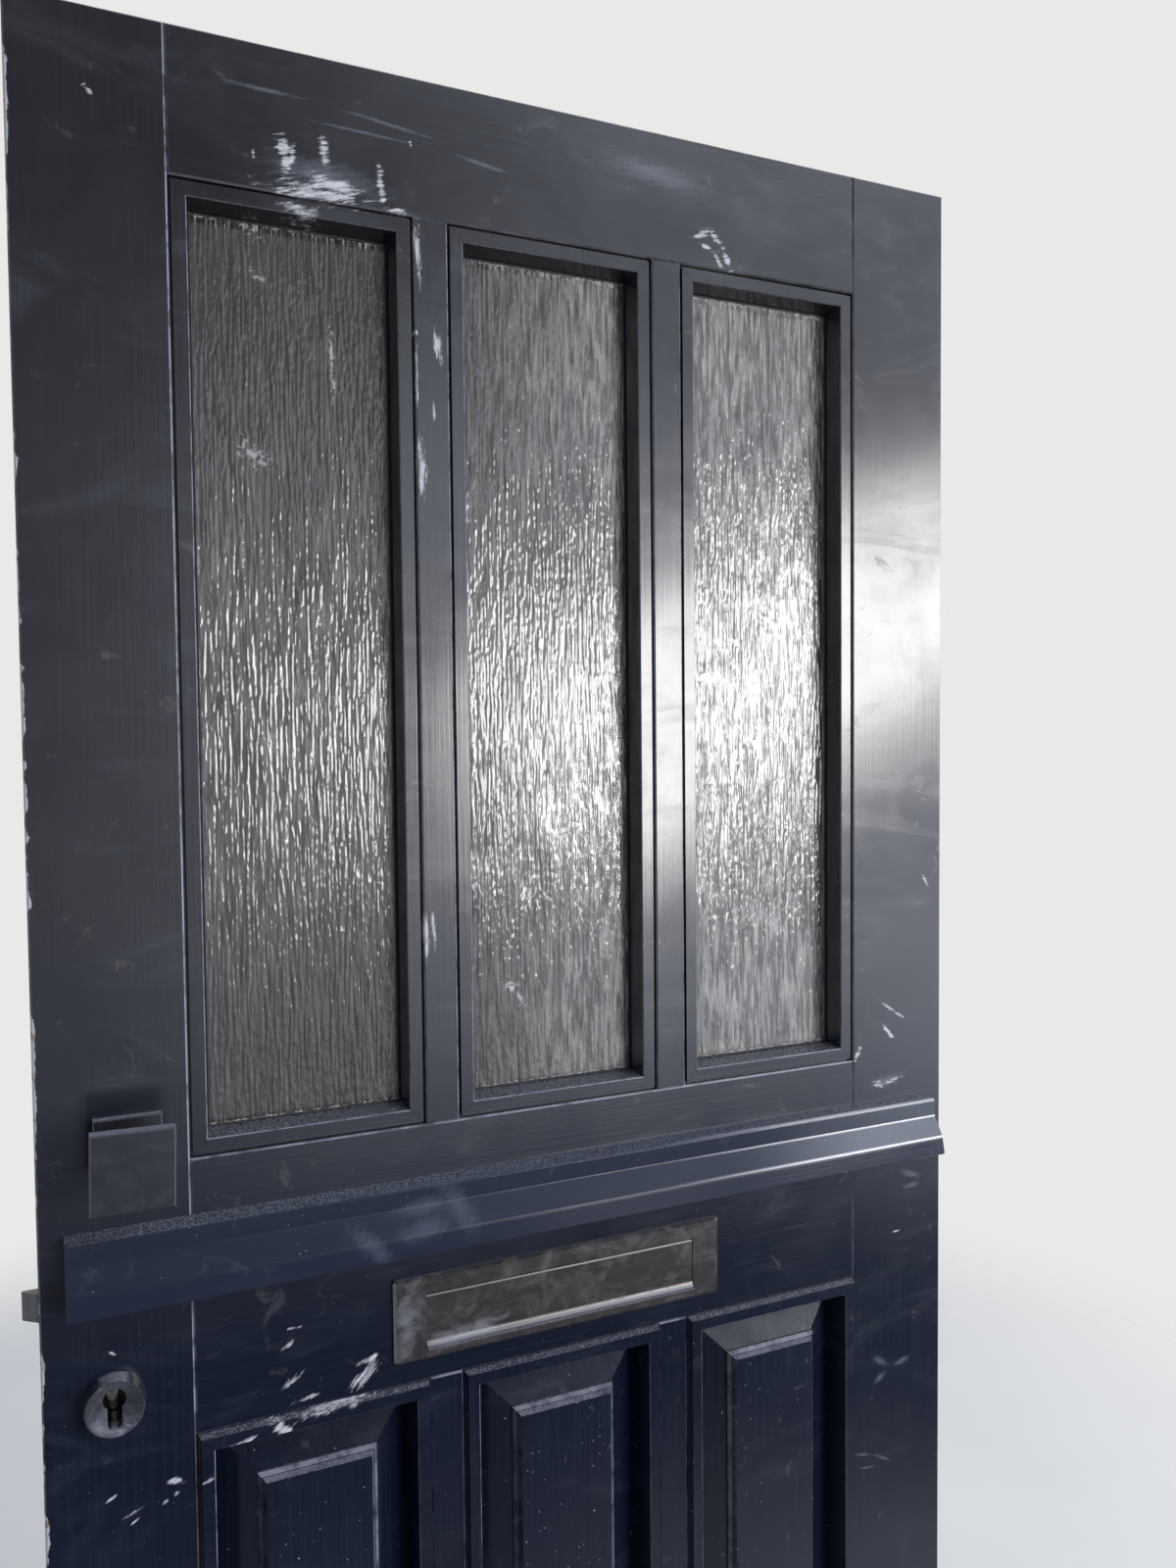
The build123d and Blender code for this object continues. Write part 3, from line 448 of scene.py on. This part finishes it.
top_marks = [
    (-0.251, 2.039, -0.247, 2.015, 0.0085), (-0.241, 2.034, -0.244, 2.021, 0.005),
    (-0.216, 2.045, -0.213, 2.023, 0.0065), (-0.275, 2.026, -0.275, 2.019, 0.003),
    (-0.272, 1.999, -0.165, 1.998, 0.012), (-0.232, 2.010, -0.172, 2.003, 0.011),
    (-0.255, 1.983, -0.219, 1.981, 0.008), (-0.227, 1.977, -0.225, 1.961, 0.004),
    (-0.167, 2.035, -0.163, 1.996, 0.005), (-0.167, 1.996, -0.134, 1.994, 0.004),
    (-0.138, 2.059, -0.137, 2.053, 0.002), (0.152, 2.020, 0.170, 2.030, 0.0060),
    (0.170, 2.030, 0.184, 2.017, 0.0055), (0.184, 2.017, 0.195, 1.993, 0.0050),
    (0.156, 2.017, 0.174, 2.011, 0.0035), (0.174, 2.011, 0.185, 1.994, 0.0035),
]
top_haze = [
    (-0.270, 2.020, -0.160, 2.008, 0.020), (-0.309, 2.078, -0.218, 2.076, 0.0030),
    (-0.252, 2.060, -0.105, 2.056, 0.002), (-0.105, 2.056, -0.034, 2.046, 0.003),
    (-0.218, 2.076, -0.098, 2.063, 0.0025), (0.040, 2.080, 0.170, 2.070, 0.018),
]
dress(painted_timber("top_rail_paint", "X", top_marks, top_haze, rise=15),
      "top_rail", "bead_left_top")

muntin_marks = [
    (-0.135, 1.991, -0.131, 1.929, 0.006), (-0.140, 1.891, -0.134, 1.891, 0.003),
    (-0.117, 1.902, -0.113, 1.866, 0.005), (-0.131, 1.812, -0.132, 1.724, 0.0055),
    (-0.120, 1.835, -0.119, 1.812, 0.002), (-0.135, 1.890, -0.135, 1.812, 0.002),
    (-0.135, 1.367, -0.132, 1.313, 0.005), (-0.129, 1.372, -0.126, 1.335, 0.004),
]
dress(painted_timber("scraped_muntin_paint", "Z", muntin_marks),
      "upper_muntin_left", "bead_left_right")

lock_stile_marks = [
    (-0.406, 2.050, -0.400, 2.045, 0.003), (-0.418, 0.890, -0.408, 0.895, 0.002),
    (-0.407, 0.871, -0.390, 0.879, 0.002), (-0.400, 0.865, -0.393, 0.870, 0.0015),
    (-0.373, 0.877, -0.369, 0.879, 0.002), (-0.365, 0.881, -0.360, 0.884, 0.002),
    (-0.413, 1.018, -0.407, 1.013, 0.0018), (-0.369, 0.895, -0.357, 0.893, 0.004),
]
dress(painted_timber("lock_stile_paint", "Z", lock_stile_marks, rubbed_and_highlit=0.8, chips=True, rise=30),
      "lock_stile")

hinge_stile_marks = [
    (0.372, 1.143, 0.384, 1.139, 0.005), (0.384, 1.139, 0.419, 1.146, 0.0035),
    (0.399, 0.970, 0.409, 0.970, 0.002), (0.347, 1.169, 0.355, 1.184, 0.004),
    (0.377, 1.234, 0.418, 1.208, 0.003), (0.384, 1.206, 0.400, 1.188, 0.003),
    (0.439, 1.369, 0.448, 1.354, 0.003),
]
hinge_stile_haze = [
    (0.410, 1.037, 0.439, 1.027, 0.006), (0.413, 1.018, 0.436, 1.020, 0.005),
    (0.370, 0.835, 0.391, 0.821, 0.007), (0.375, 0.805, 0.388, 0.812, 0.006),
    (0.400, 0.818, 0.423, 0.823, 0.005), (0.366, 1.139, 0.420, 1.146, 0.010),
    (0.346, 0.729, 0.371, 0.723, 0.003), (0.371, 0.723, 0.398, 0.709, 0.003),
    (0.347, 0.712, 0.380, 0.708, 0.002),
]
dress(painted_timber("hinge_stile_paint", "Z", hinge_stile_marks, hinge_stile_haze, rise=-12),
      "hinge_stile")

lock_rail_marks = [
    (-0.274, 0.951, -0.253, 0.964, 0.004), (-0.211, 0.935, -0.182, 0.960, 0.008),
    (-0.207, 0.958, -0.184, 0.964, 0.004), (-0.267, 1.005, -0.253, 1.005, 0.002),
    (-0.272, 0.987, -0.261, 0.994, 0.004), (-0.262, 0.937, -0.236, 0.941, 0.003),
]
dress(painted_timber("lock_rail_paint", "X", lock_rail_marks, rise=48), "lock_rail")

drip_haze = [
    (-0.211, 1.091, -0.180, 1.063, 0.014), (-0.175, 1.078, -0.120, 1.088, 0.014),
    (-0.124, 1.115, -0.101, 1.076, 0.018), (-0.179, 1.098, -0.110, 1.102, 0.012),
]
dress(painted_timber("drip_paint", "X", (), drip_haze, 0.1, drip=True, rise=35), "drip_moulding")

moulding_marks = [
    (-0.324, 0.912, -0.290, 0.921, 0.004), (-0.285, 0.931, -0.262, 0.909, 0.007),
    (-0.261, 0.926, -0.185, 0.933, 0.008), (-0.342, 0.888, -0.330, 0.893, 0.003),
    (-0.262, 0.937, -0.236, 0.941, 0.003),
]
dress(painted_timber("marked_moulding_paint", "X", moulding_marks, rise=30), "panel_moulding_left")


# The glass: three sealed double panes. The outer one is cast glass, its front modelled with an
# irregular relief of rain-like vertical streaks and drops, and grey with dirt along its edges. Its
# tone holds painted shade on the left pane, painted light to the right and a painted glint band
# at mid-height. The inner one is plain, on an aluminium spacer.

glass_painted_shade = (0.160, 0.143, 0.135)
glass_painted_glint = (0.36, 0.33, 0.32)
glass_painted_light = (0.62, 0.60, 0.585)
glass_grime = (0.13, 0.122, 0.12)
glass_runs = (0.070, 0.062, 0.060)
glass_dust = (0.50, 0.50, 0.51)
glint_height = 1.54
sight_low = 1.188
sight_high = 1.975
splashes = [
    (-0.048, 1.286, -0.036, 1.282, 0.012), (-0.036, 1.278, -0.030, 1.266, 0.009),
    (-0.285, 1.972, -0.262, 1.966, 0.012), (-0.276, 1.934, -0.262, 1.925, 0.009),
    (-0.291, 1.788, -0.262, 1.765, 0.018), (-0.208, 1.945, -0.203, 1.79, 0.005),
]

rain_glass, tree, glass = new_material("rain_glass")
place = add_node(tree, "ShaderNodeTexCoord").outputs["Object"]
split = add_node(tree, "ShaderNodeSeparateXYZ", {0: place})
across, height = split.outputs["X"], split.outputs["Z"]
# Painted shade on the left pane, painted light to the right, a painted glint band mid-height.
side = fade(tree, across, -0.14, 0.12)
grime = noise(tree, stretched(tree, place, (16.0, 16.0, 5.0)), 1.0, 5.0, 0.6)
runs = noise(tree, stretched(tree, place, (260.0, 260.0, 26.0)), 1.0, 4.0, 0.65)
painted_glint_band = fade(tree, calc(tree, "ABSOLUTE", calc(tree, "SUBTRACT", height, glint_height)), 0.30, 0.05)
tone = blend_colour(tree, painted_glint_band, glass_painted_shade, glass_painted_glint)
tone = blend_colour(tree, side, tone, glass_painted_light)
tone = blend_colour(tree, fade(tree, grime, 0.4, 0.7, 0.0, 0.5), tone, glass_grime)
tone = blend_colour(tree, fade(tree, runs, 0.42, 0.58, 0.0, 0.8), tone, glass_runs)
edge = calc(tree, "MINIMUM", calc(tree, "SUBTRACT", height, sight_low),
            calc(tree, "SUBTRACT", sight_high, height))
edge = calc(tree, "SUBTRACT", edge, product(tree, noise(tree, place, 210.0, 5.0, 0.8), 0.012))
dust = fade(tree, edge, -0.0030, -0.0048, 0.0, 0.75)
splash = strokes_near(tree, place, splashes)
ragged = calc(tree, "SUBTRACT", noise(tree, place, 210.0, 5.0, 0.75), 0.56)
splash = calc(tree, "ADD", splash, product(tree, ragged, 3.0))
dust = calc(tree, "MAXIMUM", dust, product(tree, fade(tree, splash, 0.35, 0.9), 0.7))
tone = blend_colour(tree, dust, tone, glass_dust)
transmission = fade(tree, dust, 0.0, 1.0, 0.80, 0.0)
roughness = fade(tree, dust, 0.0, 1.0, 0.05, 0.6)
streaks = noise(tree, stretched(tree, place, (340.0, 340.0, 30.0)), 1.0, 2.0, 0.5)
drops = noise(tree, stretched(tree, place, (260.0, 260.0, 130.0)), 1.0, 2.0, 0.5)
bump = add_node(tree, "ShaderNodeBump", {
    "Height": total_of(tree, streaks, product(tree, drops, 0.7)), "Strength": 0.8,
    "Distance": 0.0003,
}).outputs[0]
join(tree, glass, {
    "Base Color": tone, "Transmission Weight": transmission, "Roughness": roughness,
    "Normal": bump, "Specular IOR Level": 0.9, "IOR": 1.52,
})


def in_edit_mode():
    """The active piece is opened with all of it selected."""
    bpy.ops.object.mode_set(mode="EDIT")
    bpy.ops.mesh.select_all(action="SELECT")


streak_w = 0.0025
streak_l = 0.042
streak_depth = 0.0018
drop_w = 0.0024
drop_l = 0.0060
drop_depth = 0.0009
grid_across = 240
grid_up = 390

ripple = bpy.data.textures.new("ripple", "CLOUDS")
ripple.noise_basis = "IMPROVED_PERLIN"
ripple.noise_scale = 1.0
ripple.noise_depth = 1


def rippled(pane, size, shift):
    """A flat grid gets its relief while it is stretched so that each ripple is one unit wide."""
    now = (1.0, 1.0)
    for width, length, depth in ((streak_w, streak_l, streak_depth), (drop_w, drop_l, drop_depth)):
        in_edit_mode()
        then = (size[0] / width, size[2] / length)
        bpy.ops.transform.resize(value=(then[0] / now[0], then[1] / now[1], 1.0),
                                 center_override=(0, 0, 0))
        bpy.ops.transform.translate(value=(shift, 0.0, 0.0))
        bpy.ops.object.mode_set(mode="OBJECT")
        now = then
        wave = pane.modifiers.new("wave", "DISPLACE")
        wave.texture = ripple
        wave.texture_coords = "LOCAL"
        wave.direction = "Z"
        wave.strength = depth
        wave.mid_level = 0.5
        bpy.ops.object.modifier_apply(modifier="wave")
        in_edit_mode()
        bpy.ops.transform.translate(value=(-shift, 0.0, 0.0))
        bpy.ops.object.mode_set(mode="OBJECT")
    in_edit_mode()
    bpy.ops.transform.resize(value=(size[0] / now[0], size[2] / now[1], 1.0),
                             center_override=(0, 0, 0))


for column, shift in (("left", 0.0), ("middle", 97.0), ("right", 213.0)):
    low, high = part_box(f"outer_pane_{column}")
    size = [b - a for a, b in zip(low, high)]
    bpy.ops.object.select_all(action="DESELECT")
    bpy.ops.mesh.primitive_grid_add(x_subdivisions=grid_across, y_subdivisions=grid_up, size=1.0)
    pane = bpy.context.object
    pane.name = f"rain_pane_{column}"
    rippled(pane, size, shift)
    bpy.ops.mesh.select_all(action="DESELECT")
    bpy.ops.mesh.select_non_manifold()
    bpy.ops.mesh.extrude_region_move(TRANSFORM_OT_translate={"value": (0.0, 0.0, -size[1])})
    bpy.ops.transform.resize(value=(1.0, 1.0, 0.0), center_override=(0, 0, -size[1]))
    bpy.ops.mesh.edge_face_add()
    bpy.ops.mesh.select_all(action="SELECT")
    bpy.ops.transform.rotate(value=-math.radians(90), orient_axis="X", center_override=(0, 0, 0))
    bpy.ops.mesh.normals_make_consistent(inside=False)
    bpy.ops.object.mode_set(mode="OBJECT")
    front = min(corner[1] for corner in pane.bound_box)
    back = max(corner[1] for corner in pane.bound_box)
    thinned = size[1] / (back - front)
    pane.scale = (1.0, thinned, 1.0)
    pane.location = ((low[0] + high[0]) / 2, low[1] - front * thinned, (low[2] + high[2]) / 2)
    bpy.ops.object.transform_apply()
    bpy.ops.object.shade_smooth_by_angle(angle=math.radians(50))
    pane.data.materials.append(rain_glass)
    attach(pane, "door_leaf")
    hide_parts(f"outer_pane_{column}")

material, tree, glass = new_material("plain_glass")
place = add_node(tree, "ShaderNodeTexCoord").outputs["Object"]
smudge = noise(tree, place, 9.0, 6.0, 0.65, 1.0)
join(tree, glass, {
    "Roughness": fade(tree, smudge, 0.4, 0.75, 0.02, 0.16),
    "Base Color": (0.80, 0.84, 0.83, 1.0), "Transmission Weight": 0.9,
})
dress(material, "inner_pane_left", "inner_pane_middle", "inner_pane_right")

bar_dark = (0.36, 0.36, 0.36)
bar_light = (0.52, 0.52, 0.52)
material, tree, bar = new_material("spacer_aluminium")
place = add_node(tree, "ShaderNodeTexCoord").outputs["Object"]
drawn = noise(tree, stretched(tree, place, (500.0, 500.0, 500.0)), 1.0, 3.0)
join(tree, bar, {
    "Base Color": blend_colour(tree, drawn, bar_dark, bar_light), "Metallic": 1.0,
    "Roughness": 0.4,
})
dress(material, "pane_spacers")


# The rims: a thin bead of black sealant round the front of each pane, against its glazing beads.
# It was run in with a gun and smoothed, and holds a little grit.

sealant_black = (0.010, 0.010, 0.011)
sealant_grit = (0.10, 0.10, 0.105)
material, tree, sealant = new_material("sealant")
place = add_node(tree, "ShaderNodeTexCoord").outputs["Object"]
grit = noise(tree, place, 700.0, 4.0, 0.7)
colour = blend_colour(tree, fade(tree, grit, 0.52, 0.66), sealant_black, sealant_grit)
roughness = fade(tree, grit, 0.3, 0.7, 0.45, 0.75)
bump = add_node(tree, "ShaderNodeBump", {
    "Height": grit, "Strength": 0.5, "Distance": 0.0003,
}).outputs[0]
join(tree, sealant, {"Base Color": colour, "Roughness": roughness, "Normal": bump})

bead_sight = 0.0181
rim_w = 0.0016
rim_t = 0.0022
rim_round = 0.0005
rim_front = -0.0032
for column in ("left", "middle", "right"):
    low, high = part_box(f"bead_{column}_top")
    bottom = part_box(f"bead_{column}_bottom")[0][2]
    size = (high[0] - low[0] - 2 * bead_sight, high[2] - bottom - 2 * bead_sight)
    bpy.ops.object.select_all(action="DESELECT")
    bpy.ops.mesh.primitive_plane_add(size=1.0)
    rim = bpy.context.object
    rim.name = f"sealant_rim_{column}"
    in_edit_mode()
    bpy.ops.transform.resize(value=(size[0], size[1], 1.0))
    bpy.ops.mesh.inset(thickness=rim_w)
    bpy.ops.mesh.delete(type="FACE")
    bpy.ops.mesh.select_all(action="SELECT")
    bpy.ops.transform.rotate(value=-math.radians(90), orient_axis="X", center_override=(0, 0, 0))
    bpy.ops.object.mode_set(mode="OBJECT")
    rim.location = ((low[0] + high[0]) / 2, rim_front, (bottom + high[2]) / 2)
    bpy.ops.object.transform_apply()
    thick = rim.modifiers.new("thick", "SOLIDIFY")
    thick.thickness = rim_t
    thick.offset = -1.0
    bpy.ops.object.modifier_apply(modifier="thick")
    rounded = rim.modifiers.new("rounded", "BEVEL")
    rounded.width = rim_round
    rounded.segments = 2
    bpy.ops.object.modifier_apply(modifier="rounded")
    in_edit_mode()
    bpy.ops.mesh.normals_make_consistent(inside=False)
    bpy.ops.object.mode_set(mode="OBJECT")
    bpy.ops.object.shade_smooth_by_angle(angle=math.radians(40))
    rim.data.materials.append(material)
    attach(rim, "door_leaf")


# The fittings: a square pull knob on its rose, a round cylinder rosette and a letter plate with its
# flap. They are dark satin metal, brushed and smeared, and dusty on top; the knob and the letter
# plate are rubbed bright on their bevels, partly as a painted highlight.

metal_dust = (0.34, 0.36, 0.42)
bevel_highlight_gain = 2.2


def rubbed_and_highlit_bevels(tree, facing, rubbed_and_highlit):
    """Faces that look along none of the axes, which are the bevels."""
    aligned = calc(tree, "ABSOLUTE", facing.outputs["X"])
    for axis in ("Y", "Z"):
        aligned = calc(tree, "MAXIMUM", aligned, calc(tree, "ABSOLUTE", facing.outputs[axis]))
    return fade(tree, aligned, 0.96, 0.85, 0.0, rubbed_and_highlit)


def fitting_metal(name, base, bright, run, rough, smear=0.5, rubbed_and_highlit=0.0, marks=()):
    """Metal brushed along X or Z; smears, rubbed bevels with painted highlight, dust on top, marks.
    """
    material, tree, metal = new_material(name)
    coordinates = add_node(tree, "ShaderNodeTexCoord")
    place = coordinates.outputs["Object"]
    facing = add_node(tree, "ShaderNodeSeparateXYZ", {0: coordinates.outputs["Normal"]})
    depth = add_node(tree, "ShaderNodeSeparateXYZ", {0: place}).outputs["Y"]
    brush_scale = (12.0, 900.0, 900.0) if run == "X" else (900.0, 900.0, 12.0)
    lines = noise(tree, stretched(tree, place, brush_scale), 1.0, 3.0, 0.6)
    patches = noise(tree, place, 38.0, 6.0, 0.68, 0.9)
    colour = blend_colour(tree, fade(tree, lines, 0.3, 0.7, 0.0, 0.3), base, bright)
    colour = blend_colour(tree, fade(tree, patches, 0.45, 0.72, 0.0, smear), colour, bright)
    if rubbed_and_highlit:
        # Bevels brightened as rubbed metal and as a painted highlight.
        colour = blend_colour(tree, rubbed_and_highlit_bevels(tree, facing, rubbed_and_highlit), colour,
                              tuple(min(1.0, bevel_highlight_gain * c) for c in bright))
    grit = noise(tree, place, 800.0, 3.0, 0.7)
    dust = product(tree, fade(tree, facing.outputs["Z"], 0.80, 0.95),
                   calc(tree, "LESS_THAN", depth, -0.02), fade(tree, grit, 0.36, 0.60, 0.2, 0.9))
    if marks:
        near = calc(tree, "ADD", strokes_near(tree, place, marks),
                    product(tree, calc(tree, "SUBTRACT", patches, 0.5), 2.0))
        dust = calc(tree, "MAXIMUM", dust, fade(tree, near, 0.0, 1.3, 0.0, 0.45))
    colour = blend_colour(tree, dust, colour, metal_dust)
    roughness = total_of(tree, fade(tree, patches, 0.4, 0.75, rough - 0.06, rough + 0.14),
                         product(tree, lines, 0.08), product(tree, dust, 0.3))
    bump = add_node(tree, "ShaderNodeBump", {
        "Height": lines, "Strength": 0.10, "Distance": 0.0002,
    }).outputs[0]
    join(tree, metal, {
        "Base Color": colour, "Roughness": roughness, "Normal": bump,
        "Metallic": fade(tree, dust, 0.0, 1.0, 1.0, 0.0),
    })
    return material


knob_metal = fitting_metal("knob_metal", (0.055, 0.058, 0.068), (0.075, 0.077, 0.088), "Z", 0.44,
                           smear=0.4, rubbed_and_highlit=0.7)
dress(knob_metal, "pull_knob", "knob_rose")

rosette_marks = [(-0.425, 0.963, -0.419, 0.956, 0.007), (-0.412, 0.952, -0.398, 0.957, 0.006)]
rosette_metal = fitting_metal("rosette_metal", (0.125, 0.13, 0.155), (0.34, 0.35, 0.41), "X", 0.28,
                              smear=0.7, marks=rosette_marks)
dress(rosette_metal, "escutcheon_outer")

letter_marks = [(-0.160, 0.960, -0.158, 1.020, 0.020), (-0.138, 0.966, -0.055, 0.974, 0.014)]
letter_metal = fitting_metal("letter_metal", (0.080, 0.073, 0.070), (0.135, 0.130, 0.135), "X",
                             0.31, smear=0.35, rubbed_and_highlit=0.6, marks=letter_marks)
dress(letter_metal, "letter_plate", "letter_flap", "letter_flap_pin")


# The room side and the lock: turned and pressed fittings of satin steel, a zinc-coated lock case in
# its mortise, and the faceplate and bolts on the door's edge.

satin_steel = fitting_metal("satin_steel", (0.42, 0.42, 0.42), (0.56, 0.56, 0.56), "X", 0.30,
                            smear=0.3)
dress(satin_steel, "knob_bolt", "escutcheon_inner", "escutcheon_screws", "lever_rose",
      "lever_spindle", "lever_handle", "letter_inner_frame")
lock_steel = fitting_metal("lock_steel", (0.15, 0.145, 0.14), (0.24, 0.235, 0.225), "Z", 0.42,
                           smear=0.6)
dress(lock_steel, "lock_faceplate", "latch_bolt", "deadbolt", "lock_follower")
case_steel = fitting_metal("case_steel", (0.030, 0.029, 0.028), (0.050, 0.048, 0.046), "Z", 0.50)
dress(case_steel, "lock_case")


# The hinges: three steel butt hinges on the room side of the right stile, with one leaf of each let
# into the door's edge, the other one for a frame, and a pin through their knuckles.

hinge_steel = fitting_metal("hinge_steel", (0.36, 0.36, 0.37), (0.52, 0.52, 0.53), "Z", 0.34,
                            smear=0.4)
dress(hinge_steel, "hinge_pins", *(f"hinge_{part}_leaf_{place}" for part in ("door", "frame")
                                   for place in ("top", "middle", "bottom")))


# The screws: twelve in the door's hinge leaves, two in the lock's faceplate and four in the inner
# frame of the letter slot, of turned steel with a countersunk head and a cross recess. One is
# modelled with its head at the origin and its tip towards -X, and copied to each place.

head_r = 0.0047
head_h = 0.0022
head_edge = 0.0003
shank_r = 0.0024
shank_l = 0.016
tip_l = 0.0048
tip_share = 0.15
recess_w = 0.0012
recess_l = 0.0058
recess_h = 0.0015

bpy.ops.object.select_all(action="DESELECT")
bpy.ops.mesh.primitive_circle_add(vertices=32, radius=head_r, fill_type="NGON")
screw = bpy.context.object
screw.name = "screw_model"
in_edit_mode()
for length, narrowed in ((head_edge, 1.0), (head_h, shank_r / head_r), (shank_l, 1.0),
                         (tip_l, tip_share)):
    bpy.ops.mesh.extrude_region_move(TRANSFORM_OT_translate={"value": (0.0, 0.0, -length)})
    if narrowed < 1.0:
        bpy.ops.transform.resize(value=(narrowed, narrowed, 1.0))
bpy.ops.mesh.select_all(action="SELECT")
bpy.ops.mesh.normals_make_consistent(inside=False)
bpy.ops.object.mode_set(mode="OBJECT")
for turn in (0.0, 90.0):
    bpy.ops.object.select_all(action="DESELECT")
    bpy.ops.mesh.primitive_cube_add(size=1.0)
    cutter = bpy.context.object
    in_edit_mode()
    bpy.ops.transform.resize(value=(recess_l, recess_w, 2 * recess_h))
    bpy.ops.transform.rotate(value=math.radians(turn), orient_axis="Z", center_override=(0, 0, 0))
    bpy.ops.object.mode_set(mode="OBJECT")
    bpy.ops.object.select_all(action="DESELECT")
    bpy.context.view_layer.objects.active = screw
    screw.select_set(True)
    cross = screw.modifiers.new("cross", "BOOLEAN")
    cross.operation = "DIFFERENCE"
    cross.solver = "EXACT"
    cross.object = cutter
    bpy.ops.object.modifier_apply(modifier="cross")
    bpy.data.objects.remove(cutter)
in_edit_mode()
bpy.ops.transform.rotate(value=-math.radians(90), orient_axis="Y", center_override=(0, 0, 0))
bpy.ops.object.mode_set(mode="OBJECT")

# Each kind has its places, the turn about Z that points the screws inwards, and its size.
hinge_x = 0.4650
hinge_ys = (0.0005, 0.0185)
hinge_zs = (1.915, 1.0675, 0.220)
hinge_steps = (-0.030, 0.030)
hinge_places = [(hinge_x, y, z + step) for z in hinge_zs for y in hinge_ys for step in hinge_steps]
faceplate_x = -0.4648
faceplate_zs = (0.911, 1.119)
faceplate_places = [(faceplate_x, 0.0, z) for z in faceplate_zs]
frame_xs = (-0.154, 0.154)
frame_y = 0.0304
frame_zs = (0.9575, 1.0225)
frame_places = [(x, frame_y, z) for x in frame_xs for z in frame_zs]
number = 0
for kind, places, turn, scale in (
    ("hinge", hinge_places, 0.0, 1.0),
    ("faceplate", faceplate_places, math.pi, 0.5),
    ("frame", frame_places, math.pi / 2, 0.62),
):
    for place in places:
        piece = bpy.data.objects.new(f"{kind}_screw_{number}", screw.data.copy())
        number += 1
        bpy.context.scene.collection.objects.link(piece)
        piece.location = place
        piece.rotation_euler = (0.0, 0.0, turn)
        piece.scale = (scale, scale, scale)
        bpy.ops.object.select_all(action="DESELECT")
        bpy.context.view_layer.objects.active = piece
        piece.select_set(True)
        bpy.ops.object.transform_apply()
        bpy.ops.object.shade_smooth_by_angle(angle=math.radians(30))
        piece.data.materials.append(hinge_steel if kind == "hinge" else satin_steel)
        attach(piece, "door_leaf")
bpy.data.objects.remove(screw)
